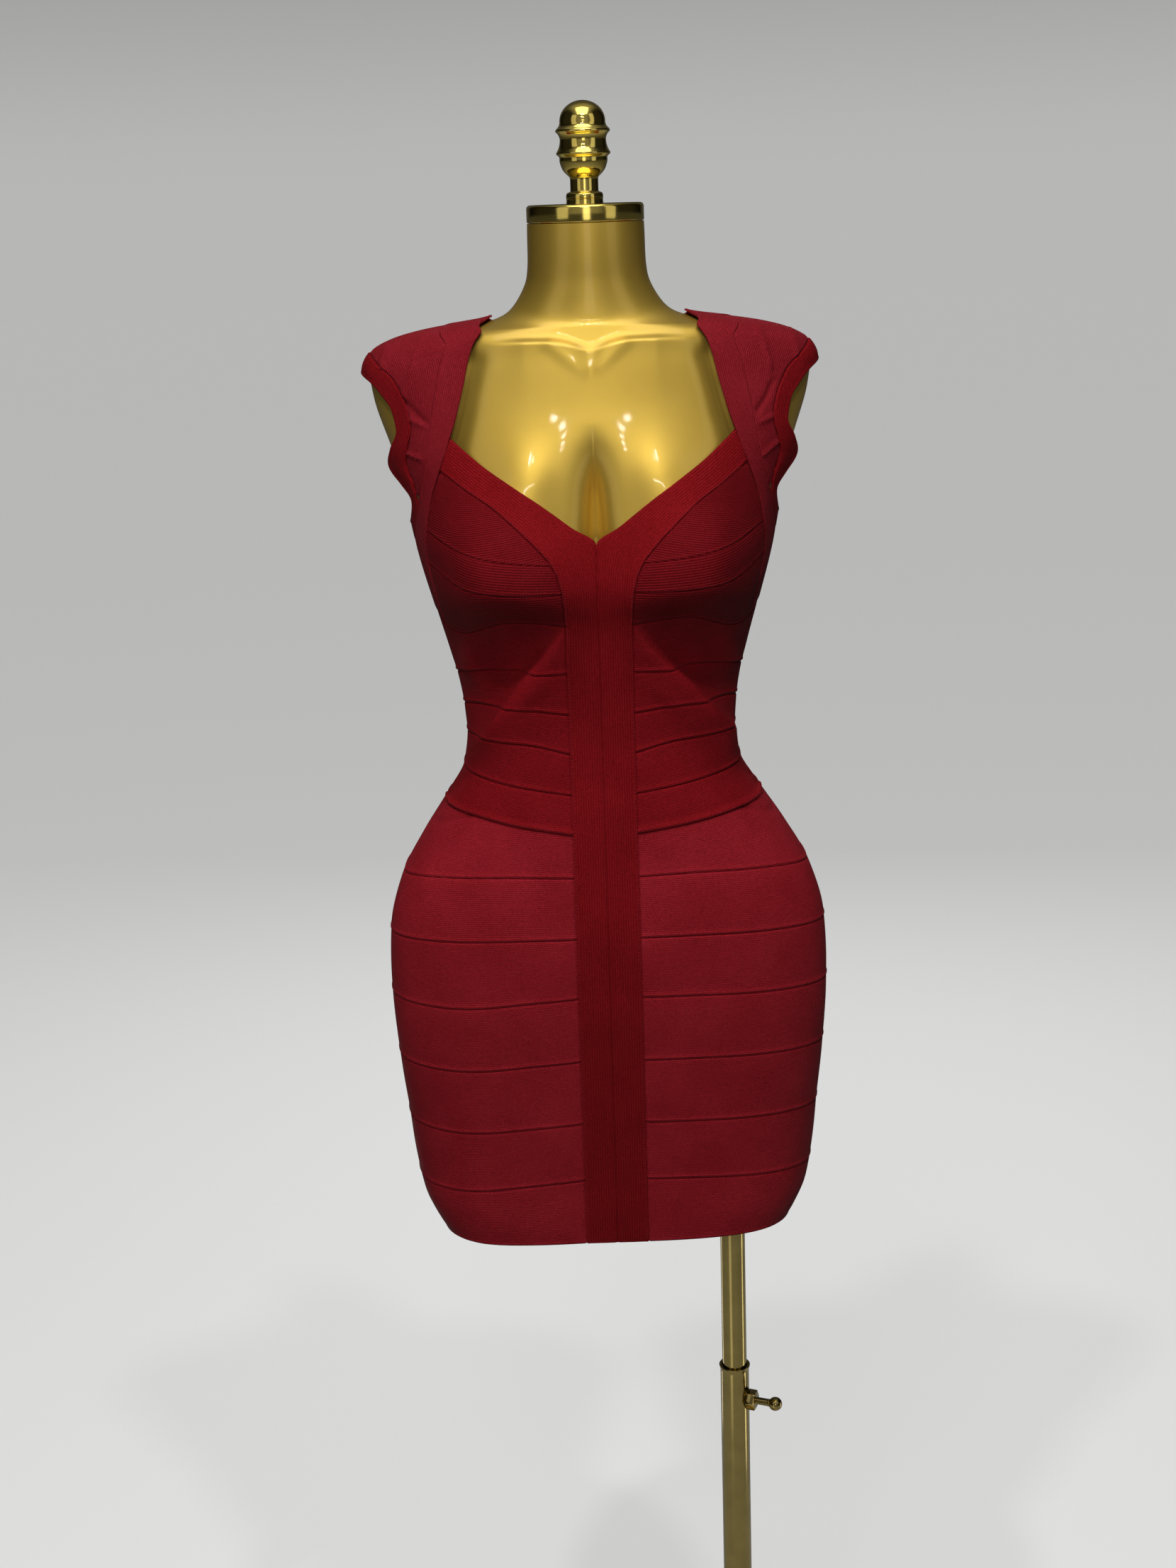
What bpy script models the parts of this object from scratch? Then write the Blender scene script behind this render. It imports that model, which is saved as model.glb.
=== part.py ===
# Bandage dress standing on its limbless dress form: form, neck cap, telescopic pole and round base.
# Metres, +Z up. The front faces -Y, x = 0 is the plane that halves the dress, z = 0 is the floor.
import math

import bmesh
import bpy
import numpy as np
from mathutils import Vector

# Cloth and clearances
WALL = 0.0016               # one layer of heavy bandage knit
TRIM_RISE = 0.0004          # bands, straps and armhole bands stand this much proud of the panels
SEAM_GAP = 0.0004           # between two pieces that meet at a seam
FORM_CLEARANCE = 0.0012     # between the form and the inner face of the cloth
PANEL_COLUMN = 0.0310       # length of a panel's facets along its bands, on the flat
BEND_WEIGHT = 0.050         # a radian of bend counts as this much length, so facets close up on curves

# Stand
POLE_X, POLE_Y = 0.100, 0.030
BASE_RADIUS, BASE_THICKNESS = 0.190, 0.008
MAST_RADIUS, MAST_BORE, MAST_TOP = 0.0125, 0.0113, 0.513
POLE_RADIUS, POLE_BOTTOM, POLE_TOP = 0.01065, 0.270, 0.768
SOCKET_RADIUS = POLE_RADIUS + 0.00035
FORM_BOTTOM = 0.715
CAP_FOOT, CAP_HEIGHT = 1.4900, 0.0870
END_GAP = 0.0003            # between pieces of the stand that meet
NUT_HEIGHT, NUT_ACROSS, NUT_DEPTH = 0.480, 0.016, 0.0070
NUT_TURN = math.radians(-22)          # the clamp points to the right and a little to the front
SCREW_RADIUS, SCREW_SHOWN, BALL_RADIUS = 0.0033, 0.0115, 0.0060

# Sections of the dress, lowest first. The level is the height on the body, stretched over the
# shoulders where the height hardly changes. Depths run from y = 0 to the front and to the back,
# "widest" is the y of the widest point and "square" the exponent of the section's curve.
SECTION_COLUMNS = ("level", "height", "half_width", "front", "back", "widest", "square")
SECTIONS = np.array((
    (0.690, 0.6900, 0.1428, 0.0860, 0.0800, -0.004, 3.40),
    (0.706, 0.7060, 0.1512, 0.0868, 0.0850, -0.006, 3.30),
    (0.722, 0.7220, 0.1578, 0.0874, 0.0900, -0.009, 3.15),
    (0.742, 0.7420, 0.1618, 0.0880, 0.0955, -0.012, 3.00),
    (0.800, 0.8000, 0.1675, 0.0930, 0.1150, -0.020, 2.70),
    (0.860, 0.8600, 0.1724, 0.0980, 0.1300, -0.028, 2.60),
    (0.905, 0.9050, 0.1744, 0.1010, 0.1350, -0.030, 2.50),
    (0.950, 0.9500, 0.1728, 0.1010, 0.1300, -0.030, 2.50),
    (0.990, 0.9900, 0.1627, 0.0980, 0.1150, -0.026, 2.45),
    (1.020, 1.0200, 0.1458, 0.0940, 0.0990, -0.020, 2.40),
    (1.050, 1.0500, 0.1262, 0.0900, 0.0830, -0.014, 2.35),
    (1.078, 1.0780, 0.1096, 0.0860, 0.0720, -0.010, 2.30),
    (1.105, 1.1050, 0.1056, 0.0840, 0.0660, -0.008, 2.30),
    (1.135, 1.1350, 0.1080, 0.0850, 0.0670, -0.006, 2.30),
    (1.170, 1.1700, 0.1158, 0.0870, 0.0740, -0.005, 2.35),
    (1.210, 1.2100, 0.1268, 0.0880, 0.0840, -0.003, 2.40),
    (1.250, 1.2500, 0.1374, 0.0870, 0.0920, 0.000, 2.40),
    (1.290, 1.2900, 0.1448, 0.0830, 0.0950, 0.002, 2.35),
    (1.330, 1.3300, 0.1600, 0.0760, 0.0910, 0.004, 2.25),
    (1.365, 1.3650, 0.1705, 0.0660, 0.0830, 0.006, 2.15),
    (1.385, 1.3850, 0.1730, 0.0600, 0.0760, 0.007, 2.05),
    (1.405, 1.3990, 0.1668, 0.0550, 0.0700, 0.007, 2.00),
    (1.425, 1.4075, 0.1520, 0.0520, 0.0640, 0.006, 2.00),
    (1.445, 1.4130, 0.1330, 0.0500, 0.0590, 0.004, 2.00),
    (1.465, 1.4175, 0.1080, 0.0484, 0.0545, 0.003, 2.00),
    (1.482, 1.4215, 0.0810, 0.0468, 0.0500, 0.002, 2.00),
    (1.495, 1.4270, 0.0650, 0.0458, 0.0480, 0.001, 2.00),
    (1.508, 1.4370, 0.0550, 0.0444, 0.0460, 0.001, 2.00),
    (1.525, 1.4520, 0.0471, 0.0433, 0.0440, 0.000, 2.00),
    (1.545, 1.4680, 0.0446, 0.0433, 0.0438, 0.000, 2.00),
    (1.565, 1.4897, 0.0438, 0.0436, 0.0438, 0.000, 2.00),
))
BUST = {"x": 0.082, "height": 1.232, "reach": 0.040, "outward": 0.040, "above": 0.062, "below": 0.036}
BRIDGED = 0.075             # how far the stretched cloth carries the bust towards the middle
CLEAVED = 0.046             # the same on the bare form, whose chest dips between the cups

# Where the form is slimmer still: at its foot, under the midriff's folds and under the shoulders'
# seams. Columns: height, reach, ease
EASES = ((0.712, 0.022, 0.0016), (1.125, 0.075, 0.0034), (1.340, 0.085, 0.0014))

# Soft folds of the midriff, from the side of the bust down to the waist. Positive rise is a ridge.
# Columns: side, x_from, z_from, x_to, z_to, rise, reach
FOLDS = (
    (+1, 0.046, 1.172, 0.098, 1.098, +0.0026, 0.0090),
    (+1, 0.070, 1.180, 0.088, 1.126, -0.0026, 0.0080),
    (+1, 0.084, 1.192, 0.104, 1.122, +0.0020, 0.0080),
    (-1, 0.050, 1.172, 0.094, 1.112, +0.0028, 0.0090),
    (-1, 0.074, 1.182, 0.092, 1.128, -0.0026, 0.0080),
    (-1, 0.090, 1.194, 0.106, 1.118, +0.0018, 0.0080),
)

# Seams between the bands of the front, top to bottom: the height at the centre strip, at a third
# and two thirds of the way round, and at the side seam. The dress is worn a little askew, so that
# on the wearer's right the seams hang lower by "sag" at two thirds and by half of it at a third.
# Columns: name, strip, third, two_thirds, side, sag
SEAMS = (
    ("cup_upper", 1.2480, 1.2525, 1.2585, 1.2720, 0.0000),
    ("cup_lower", 1.2280, 1.2295, 1.2320, 1.2470, 0.0000),
    ("underbust", 1.2023, 1.2030, 1.1920, 1.2070, 0.0000),
    ("midriff_1", 1.1640, 1.1642, 1.1600, 1.1530, 0.0000),
    ("midriff_2", 1.1310, 1.1350, 1.1330, 1.1280, 0.0000),
    ("midriff_3", 1.1000, 1.1070, 1.1080, 1.1060, 0.0000),
    ("midriff_4", 1.0687, 1.0730, 1.0775, 1.0800, 0.0000),
    ("waist", 1.0389, 1.0435, 1.0495, 1.0530, -0.0015),
    ("skirt_1", 1.0053, 1.0060, 1.0035, 0.9960, 0.0000),
    ("skirt_2", 0.9575, 0.9573, 0.9552, 0.9510, 0.0010),
    ("skirt_3", 0.9089, 0.9082, 0.9052, 0.9010, 0.0060),
    ("skirt_4", 0.8552, 0.8548, 0.8522, 0.8480, 0.0070),
    ("skirt_5", 0.8007, 0.7998, 0.7970, 0.7930, 0.0070),
    ("skirt_6", 0.7499, 0.7485, 0.7445, 0.7400, 0.0070),
    ("hem", 0.6934, 0.6934, 0.6925, 0.6915, 0.0030),
)
STRIP_EDGE = 0.0247         # half the width of the two centre strips together

# Edges that run over the body are stations: the face of the body they lie on, then x and the height.
# A "side" station lies on the side seam at a height, a "top" one on the shoulder line at an x, and
# an "underbust" one on the underbust seam at an x.
STRAP_INNER = (
    ("underbust", 0.1175, 0.0), ("front", 0.1275, 1.2458), ("front", 0.1270, 1.2700),
    ("front", 0.1225, 1.2920), ("front", 0.1155, 1.3130), ("front", 0.1080, 1.3330),
    ("front", 0.1000, 1.3560), ("front", 0.0945, 1.3760), ("front", 0.0900, 1.3950),
    ("front", 0.0835, 1.4085), ("top", 0.0730, 0.0), ("back", 0.0700, 1.4055),
    ("back", 0.0640, 1.3850), ("back", 0.0380, 1.3680), ("back", 0.0, 1.3620),
)
STRAP_OUTER = (
    ("side", 0.0, 1.2070), ("side", 0.0, 1.2540), ("front", 0.1377, 1.2650),
    ("front", 0.1335, 1.2880), ("front", 0.1285, 1.3060), ("front", 0.1243, 1.3230),
    ("front", 0.1200, 1.3480), ("front", 0.1160, 1.3700), ("front", 0.1115, 1.3900),
    ("front", 0.1068, 1.4040), ("top", 0.1010, 0.0), ("back", 0.0950, 1.3985),
    ("back", 0.0820, 1.3720), ("back", 0.0480, 1.3480), ("back", 0.0, 1.3400),
)
NECK_BAND_INNER = (
    ("front", 0.1056, 1.3385), ("front", 0.0826, 1.3197), ("front", 0.0600, 1.3045),
    ("front", 0.0395, 1.2910), ("front", 0.0180, 1.2750), ("front", 0.0, 1.2615),
    ("front", 0.0, 1.2450), ("front", 0.0, 1.2240), ("front", 0.0, 1.2023),
)
NECK_BAND_OUTER = (
    ("front", 0.1138, 1.3150), ("front", 0.0950, 1.3020), ("front", 0.0770, 1.2910),
    ("front", 0.0610, 1.2780), ("front", 0.0440, 1.2620), ("front", 0.0335, 1.2490),
    ("front", 0.0280, 1.2350), ("front", 0.0256, 1.2200), ("front", STRIP_EDGE, 1.2023),
)
# The armhole band, all the way round. Columns: seam, free_edge, lift (how far the free edge stands off)
ARMHOLE = (
    (("side", 0.0, 1.2540), ("side", 0.0, 1.2700), 0.0015),
    (("front", 0.1377, 1.2650), ("front", 0.1402, 1.2760), 0.0003),
    (("front", 0.1335, 1.2880), ("front", 0.1387, 1.2900), 0.0000),
    (("front", 0.1360, 1.3030), ("front", 0.1440, 1.3020), 0.0025),
    (("front", 0.1405, 1.3160), ("front", 0.1510, 1.3150), 0.0046),
    (("front", 0.1392, 1.3300), ("front", 0.1508, 1.3290), 0.0028),
    (("front", 0.1358, 1.3440), ("front", 0.1468, 1.3430), 0.0006),
    (("front", 0.1385, 1.3600), ("front", 0.1500, 1.3575), 0.0000),
    (("front", 0.1455, 1.3760), ("front", 0.1580, 1.3690), 0.0000),
    (("front", 0.1570, 1.3880), ("front", 0.1680, 1.3790), 0.0006),
    (("top", 0.1670, 0.0), ("side", 0.0, 1.3830), 0.0015),
    (("back", 0.1560, 1.3900), ("back", 0.1680, 1.3780), 0.0010),
    (("back", 0.1470, 1.3750), ("back", 0.1600, 1.3680), 0.0005),
    (("back", 0.1410, 1.3560), ("back", 0.1540, 1.3530), 0.0005),
    (("back", 0.1380, 1.3320), ("back", 0.1500, 1.3320), 0.0008),
    (("back", 0.1360, 1.3050), ("back", 0.1460, 1.3080), 0.0010),
    (("back", 0.1350, 1.2800), ("back", 0.1420, 1.2880), 0.0010),
    (("back", 0.1370, 1.2640), ("back", 0.1405, 1.2760), 0.0012),
)
# Where other pieces join those edges, counted in stations, and the facets from station to station
STRAP_FACETS, ARMHOLE_FACETS, NECK_BAND_FACETS = 3.0, 2.5, 2.0
SHOULDER_FACETS = 26
CUP_COLUMNS = 10
STRAP_YOKE, ARMHOLE_YOKE = 12.0, 32 / ARMHOLE_FACETS
ARMHOLE_BACK_SEAM, ARMHOLE_CLOSE = 16.0, 18.0
UPPER_BACK_HEIGHT = 1.2800

DENSE = 241                 # points in a run before it is resampled

# Looks: colour, roughness, metallic
CLOTH_LOOK = ((0.205, 0.010, 0.016, 1.0), 0.75, 0.0)
STRIP_LOOK = ((0.165, 0.006, 0.012, 1.0), 0.75, 0.0)
GOLD_LOOK = ((0.56, 0.38, 0.09, 1.0), 0.32, 0.7)
BRASS_LOOK = ((0.80, 0.58, 0.20, 1.0), 0.12, 1.0)
STEEL_LOOK = ((0.52, 0.38, 0.13, 1.0), 0.18, 1.0)

for leftover in list(bpy.data.objects):
    bpy.data.objects.remove(leftover, do_unlink=True)

DRESS = bpy.data.collections.new("bandage_dress_on_form")
CUTTERS = bpy.data.collections.new("cutters")
for group in (DRESS, CUTTERS):
    bpy.context.scene.collection.children.link(group)


# ---------------------------------------------------------------- the body's surface
def smooth_through(knots, values, query):
    """Read a smooth curve through the knots, one that never swings past them."""
    step = np.diff(knots)
    slope = np.diff(values) / step
    tangent = np.zeros(len(knots))
    tangent[0], tangent[-1] = slope[0], slope[-1]
    rising = slope[:-1] * slope[1:] > 0
    before, after = 2 * step[1:] + step[:-1], step[1:] + 2 * step[:-1]
    safe = np.where(rising[:, None], np.stack((slope[:-1], slope[1:]), axis=1), 1.0)
    tangent[1:-1] = np.where(rising, (before + after) / (before / safe[:, 0] + after / safe[:, 1]), 0.0)
    span = np.clip(np.searchsorted(knots, query, side="right") - 1, 0, len(step) - 1)
    t = np.clip((query - knots[span]) / step[span], 0.0, 1.0)
    rise = 3 * t**2 - 2 * t**3
    leaving = (t**3 - 2 * t**2 + t) * step[span] * tangent[span]
    arriving = (t**3 - t**2) * step[span] * tangent[span + 1]
    return (1 - rise) * values[span] + rise * values[span + 1] + leaving + arriving


def section(level):
    """The section's values at a level, as a dictionary of arrays."""
    return {name: smooth_through(SECTIONS[:, 0], SECTIONS[:, column], level)
            for column, name in enumerate(SECTION_COLUMNS)}


def bell(t):
    return np.exp(-t * t)


def bust_reach(x, height, inward):
    """How far the bust stands in front of the section."""
    across = np.abs(x) - BUST["x"]
    along = height - BUST["height"]
    width = np.where(across < 0, inward, BUST["outward"])
    tall = np.where(along > 0, BUST["above"], BUST["below"])
    return BUST["reach"] * bell(across / width) * bell(along / tall)


def bare_point(turn, level, inward):
    """The smooth body. turn is 0 at the centre front, 90 degrees at the +X side and 180 at the back."""
    turn, level = np.broadcast_arrays(np.asarray(turn, float), np.asarray(level, float))
    at = section(level)
    across, along = np.sin(turn), np.cos(turn)
    depth = np.where(along >= 0, at["front"] + at["widest"], at["back"] - at["widest"])
    radius = ((np.abs(across) / at["half_width"]) ** at["square"]
              + (np.abs(along) / depth) ** at["square"]) ** (-1.0 / at["square"])
    x = radius * across
    y = at["widest"] - radius * along
    y = y - bust_reach(x, at["height"], inward) * np.clip(3 * along, 0.0, 1.0)
    return np.stack((x, y, at["height"]), axis=-1)


def outward_normal(turn, level, inward):
    small = 1e-4
    round_about = bare_point(turn + small, level, inward) - bare_point(turn - small, level, inward)
    upward = bare_point(turn, level + small, inward) - bare_point(turn, level - small, inward)
    normal = np.cross(round_about, upward)
    return normal / np.linalg.norm(normal, axis=-1, keepdims=True)


def fold_rise(point):
    """Height of the midriff's folds at a point of the front."""
    total = np.zeros(point.shape[:-1])
    for side, x_from, z_from, x_to, z_to, rise, reach in FOLDS:
        start = np.array((side * x_from, z_from))
        run = np.array((side * x_to, z_to)) - start
        offset = point[..., (0, 2)] - start
        along = offset @ run / (run @ run)
        away = np.linalg.norm(offset - np.clip(along, 0, 1)[..., None] * run, axis=-1)
        total += rise * bell(away / reach) * np.sin(math.pi * np.clip(along, 0.04, 0.96))
    return np.where(point[..., 1] < 0, total, 0.0)


def cloth_point(turn, level, out):
    """A point of the dress, moved out along the surface's own normal."""
    bare = bare_point(turn, level, BRIDGED)
    lift = np.asarray(out) + fold_rise(bare)
    return bare + lift[..., None] * outward_normal(turn, level, BRIDGED)


def form_point(turn, level):
    """A point of the dress form, which lies inside the cloth everywhere."""
    bare = bare_point(turn, level, CLEAVED)
    ease = sum(depth * bell((bare[..., 2] - height) / reach) for height, reach, depth in EASES)
    inset = WALL + FORM_CLEARANCE + ease
    neck = np.clip((level - 1.500) / 0.03, 0.0, 1.0)
    return bare - (inset * (1 - neck))[..., None] * outward_normal(turn, level, CLEAVED)


# ---------------------------------------------------------------- stations and edges
def level_at_height(height):
    return float(np.interp(height, LEVEL_SCALE[:, 1], LEVEL_SCALE[:, 0]))


def place(station):
    """Turn a station into (turn, level)."""
    face, x, height = station
    if face == "top":
        past_widest = LEVEL_SCALE[LEVEL_SCALE[:, 0] > 1.385]
        return math.pi / 2, float(np.interp(-x, -past_widest[:, 2], past_widest[:, 0]))
    if face == "underbust":
        seam = seam_on_strip("underbust")
        turn = place(("front", x, 1.1960))[0]
        return turn, float(np.interp(turn, seam[:, 0], seam[:, 1]))
    level = level_at_height(height)
    if face == "side":
        return math.pi / 2, level
    at = {name: float(value) for name, value in section(np.array(level)).items()}
    depth = at["front"] + at["widest"] if face == "front" else at["back"] - at["widest"]
    share = min(x / at["half_width"], 1.0)
    y = depth * (1 - share ** at["square"]) ** (1 / at["square"])
    return math.atan2(x, y if face == "front" else -y), level


def run_through(stations, share):
    """Points of the smooth edge through the stations; share runs from 0 to 1, evenly by station."""
    places = np.array([place(station) for station in stations])
    knots = np.linspace(0, 1, len(stations))
    return np.stack([smooth_through(knots, places[:, k], share) for k in (0, 1)], axis=-1)


def travelled_along(run):
    """Length travelled along a dense run of (turn, level), where bends count as length too."""
    points = bare_point(run[:, 0], run[:, 1], BRIDGED)
    normals = outward_normal(run[:, 0], run[:, 1], BRIDGED)
    length = np.linalg.norm(np.diff(points, axis=0), axis=1)
    bend = np.linalg.norm(np.diff(normals, axis=0), axis=1)
    return np.concatenate(((0,), np.cumsum(length + BEND_WEIGHT * bend)))


def evenly(run, count):
    """Resample a dense run to points that are evenly spaced on the body, closer round its bends."""
    travelled = travelled_along(run)
    wanted = np.linspace(0, travelled[-1], count)
    return np.stack([np.interp(wanted, travelled, run[:, k]) for k in (0, 1)], axis=-1)


def edge(stations, first, last, count=DENSE):
    """A run along part of an edge; first and last count stations."""
    return run_through(stations, np.linspace(first, last, count) / (len(stations) - 1))


def straight(start, end):
    """A dense run between two places."""
    return start + np.linspace(0, 1, DENSE)[:, None] * (np.asarray(end) - start)


def front_seam(name, start, end, askew=False):
    """A dense run along one of the front's seams, drawn to its inner and its outer end."""
    *heights, sag = next(row[1:] for row in SEAMS if row[0] == name)
    share = np.linspace(0, 1, DENSE)
    drop = np.array((0.0, 0.5, 1.0, 0.0)) * sag * askew
    height = smooth_through(np.linspace(0, 1, 4), np.array(heights) - drop, share)
    level = np.interp(height, LEVEL_SCALE[:, 1], LEVEL_SCALE[:, 0])
    level += (1 - share) * (start[1] - level[0]) + share * (end[1] - level[-1])
    return np.stack((start[0] + share * (end[0] - start[0]), level), axis=-1)


def patch(bottom, top, left, right):
    """Fill four edges that meet at their corners; each is (points, 2)."""
    u = np.linspace(0, 1, len(bottom))[:, None, None]
    v = np.linspace(0, 1, len(left))[None, :, None]
    ruled = (1 - v) * bottom[:, None] + v * top[:, None]
    crossed = (1 - u) * left[None] + u * right[None]
    corners = ((1 - u) * (1 - v) * bottom[0] + u * (1 - v) * bottom[-1]
               + (1 - u) * v * top[0] + u * v * top[-1])
    return ruled + crossed - corners


def pull_in(points, distance, closed=False):
    """Draw the borders of a grid of points in, so that neighbouring pieces keep a gap."""
    shrunk = points.copy()

    def step(towards, away):
        gap = towards - away
        return distance * gap / np.maximum(np.linalg.norm(gap, axis=-1, keepdims=True), 1e-9)

    shrunk[:, 0] += step(points[:, 1], points[:, 0])
    shrunk[:, -1] += step(points[:, -2], points[:, -1])
    if not closed:
        shrunk[0] += step(points[1], points[0])
        shrunk[-1] += step(points[-2], points[-1])
    return shrunk


# ---------------------------------------------------------------- making objects
def make_material(name, color, roughness, metallic):
    material = bpy.data.materials.new(name)
    material.use_nodes = True
    shader = material.node_tree.nodes["Principled BSDF"]
    shader.inputs["Base Color"].default_value = color
    shader.inputs["Roughness"].default_value = roughness
    shader.inputs["Metallic"].default_value = metallic
    return material


def add_object(name, mesh, look, collection):
    mesh.polygons.foreach_set("use_smooth", [True] * len(mesh.polygons))
    mesh.set_sharp_from_angle(angle=math.radians(35))
    obj = bpy.data.objects.new(name, mesh)
    color, roughness, metallic = look
    mesh.materials.append(make_material(name, color, roughness, metallic))
    collection.objects.link(obj)
    return obj


def add_wall(name, outer, inner, look, closed=False):
    """A cloth piece: a grid laid on the outer points, extruded to the inner ones."""
    columns, rows = outer.shape[:2]
    form = bmesh.new()
    column_of = form.verts.layers.int.new("column")
    row_of = form.verts.layers.int.new("row")
    bmesh.ops.create_grid(form, x_segments=columns - 1, y_segments=rows - 1, size=0.5)
    for vert in form.verts:
        vert[column_of] = round((vert.co.x + 0.5) * (columns - 1))
        vert[row_of] = round((vert.co.y + 0.5) * (rows - 1))
    extruded = bmesh.ops.extrude_face_region(form, geom=form.faces[:], use_keep_orig=True)["geom"]
    inner_verts = {item for item in extruded if isinstance(item, bmesh.types.BMVert)}
    for vert in form.verts:
        side = inner if vert in inner_verts else outer
        vert.co = Vector(side[vert[column_of], vert[row_of]])
    if closed:
        end_walls = [face for face in form.faces
                     if len({vert[column_of] for vert in face.verts}) == 1]
        bmesh.ops.delete(form, geom=end_walls, context="FACES_ONLY")
        bmesh.ops.remove_doubles(form, verts=form.verts[:], dist=1e-6)
    bmesh.ops.recalc_face_normals(form, faces=form.faces[:])
    if form.calc_volume(signed=True) < 0:
        bmesh.ops.reverse_faces(form, faces=form.faces[:])
    mesh = bpy.data.meshes.new(name)
    form.to_mesh(mesh)
    form.free()
    return add_object(name, mesh, look, DRESS)


def add_panel(name, places, look=CLOTH_LOOK, rise=0.0, lift=None, closed=False):
    """A cloth piece from a grid of (turn, level) places."""
    turn, level = places[..., 0], places[..., 1]
    raised = rise if lift is None else rise + lift
    outer = cloth_point(turn, level, np.broadcast_to(raised, turn.shape))
    inner = cloth_point(turn, level, np.broadcast_to(raised - WALL - rise, turn.shape))
    if closed:
        outer[-1], inner[-1] = outer[0], inner[0]
    outer, inner = (pull_in(points, SEAM_GAP / 2, closed) for points in (outer, inner))
    return add_wall(name, outer, inner, look, closed)


def mirrored(places):
    """The same grid on the -X side."""
    return places[::-1] * np.array((-1, 1))


def add_pair(name, places, **options):
    """A piece and its twin, on the wearer's left (+X) and right."""
    add_panel(f"{name}_left", places, **options)
    lift = options.pop("lift", None)
    if lift is not None:
        options["lift"] = lift[::-1]
    add_panel(f"{name}_right", mirrored(places), **options)


def columns_for(run):
    return max(3, math.ceil(travelled_along(run)[-1] / PANEL_COLUMN) + 1)


# ---------------------------------------------------------------- the dress
def strip_turn(level):
    """The turn of the centre strip's edge at each level."""
    at = section(level)
    depth = at["front"] + at["widest"]
    y = depth * (1 - (STRIP_EDGE / at["half_width"]) ** at["square"]) ** (1 / at["square"])
    return np.arctan2(STRIP_EDGE, y)


def seam_on_strip(name, askew=False):
    """A front seam from the centre strip to the side seam."""
    first, last = next((row[1], row[4]) for row in SEAMS if row[0] == name)
    start = level_at_height(first)
    strip = (float(strip_turn(np.array(start))), start)
    return front_seam(name, strip, (math.pi / 2, level_at_height(last)), askew)


def between(lower, top, rows):
    """A grid between a seam and the points of the one above, from the centre strip to the side seam."""
    bottom = evenly(lower, len(top))
    share = np.linspace(0, 1, rows)
    left = bottom[0] + share[:, None] * (top[0] - bottom[0])
    left[:, 0] = strip_turn(left[:, 1])
    right = bottom[-1] + share[:, None] * (top[-1] - bottom[-1])
    return patch(bottom, top, left, right)


def strap_foot_points():
    """The strap's foot on the underbust seam, from its inner to its outer edge."""
    seam = seam_on_strip("underbust")
    turns = np.linspace(place(STRAP_INNER[0])[0], math.pi / 2, 3)
    return np.stack((turns, np.interp(turns, seam[:, 0], seam[:, 1])), axis=-1)


def under_cup_points():
    """The underbust seam from the centre strip to the strap's foot."""
    seam = seam_on_strip("underbust")
    foot = strap_foot_points()[:1]
    lowest = np.concatenate((seam[seam[:, 0] < foot[0, 0]], foot))
    return evenly(lowest, CUP_COLUMNS)


def underbust_points():
    return np.concatenate((under_cup_points(), strap_foot_points()[1:]))


def band_name(number):
    """The name of the band under a seam: its part of the dress and its number there, from the top."""
    names = [row[0] for row in SEAMS]
    below_waist = number >= names.index("waist")
    first = names.index("waist" if below_waist else "underbust")
    return f"{'skirt' if below_waist else 'midriff'}_band_{number - first + 1}"


def band_numbers():
    names = [row[0] for row in SEAMS]
    return range(names.index("underbust"), len(names) - 1)


def band_rows(number):
    """Rows of points in a band; the hem's band curves in under the form and takes one more."""
    return 4 if number == band_numbers()[-1] else 3


def build_front_bands():
    for number in band_numbers():
        for side, askew in (("left", False), ("right", True)):
            upper, lower = (seam_on_strip(SEAMS[row][0], askew) for row in (number, number + 1))
            top = underbust_points() if number == band_numbers()[0] else evenly(upper, columns_for(lower))
            places = between(lower, top, band_rows(number))
            add_panel(f"front_{band_name(number)}_{side}", mirrored(places) if askew else places)


def build_cups():
    """Three shaped bands a side, between the neck band, the strap and the underbust seam."""
    per_strap = round(STRAP_FACETS)
    strap_foot = edge(STRAP_INNER, 0.0, 1.0, per_strap + 1)
    strap_middle = edge(STRAP_INNER, 1.0, 2.0, per_strap + 1)
    strap_head = edge(STRAP_INNER, 2.0, 4.0, 2 * per_strap + 1)
    neck_low = edge(NECK_BAND_OUTER, 6.5, 8.0, per_strap + 1)[::-1]
    neck_middle = edge(NECK_BAND_OUTER, 5.0, 6.5, per_strap + 1)[::-1]
    neck_head = edge(NECK_BAND_OUTER, 0.2, 5.0, 2 * per_strap + 1)[::-1]
    middle = front_seam("cup_lower", neck_low[-1], strap_foot[-1])
    upper = front_seam("cup_upper", neck_middle[-1], strap_middle[-1])
    top = straight(neck_head[-1], strap_head[-1])
    seams = [evenly(seam, CUP_COLUMNS) for seam in (top, upper, middle)] + [under_cup_points()]
    sides = ((neck_head, strap_head), (neck_middle, strap_middle), (neck_low, strap_foot))
    for number, (inner, outer) in enumerate(sides):
        add_pair(f"front_cup_band_{number + 1}", patch(seams[number + 1], seams[number], inner, outer))


def build_back_bands():
    """Full-width bands from side seam to side seam, with the heights of the front's seams."""
    for number in band_numbers():
        levels = [level_at_height(SEAMS[row][4]) for row in (number, number + 1)]
        upper, lower = (straight((math.pi / 2, level), (3 * math.pi / 2, level)) for level in levels)
        count = columns_for(lower)
        bottom, top = evenly(lower, count), evenly(upper, count)
        share = np.linspace(0, 1, band_rows(number))[:, None]
        places = patch(bottom, top, bottom[0] + share * (top[0] - bottom[0]),
                       bottom[-1] + share * (top[-1] - bottom[-1]))
        add_panel(f"back_{band_name(number)}", places)


def across_back(half):
    """Carry a run that ends at the centre back on to the other side."""
    other = half[::-1] * (-1, 1) + (math.tau, 0)
    return np.concatenate((half, other[1:]))


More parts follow.
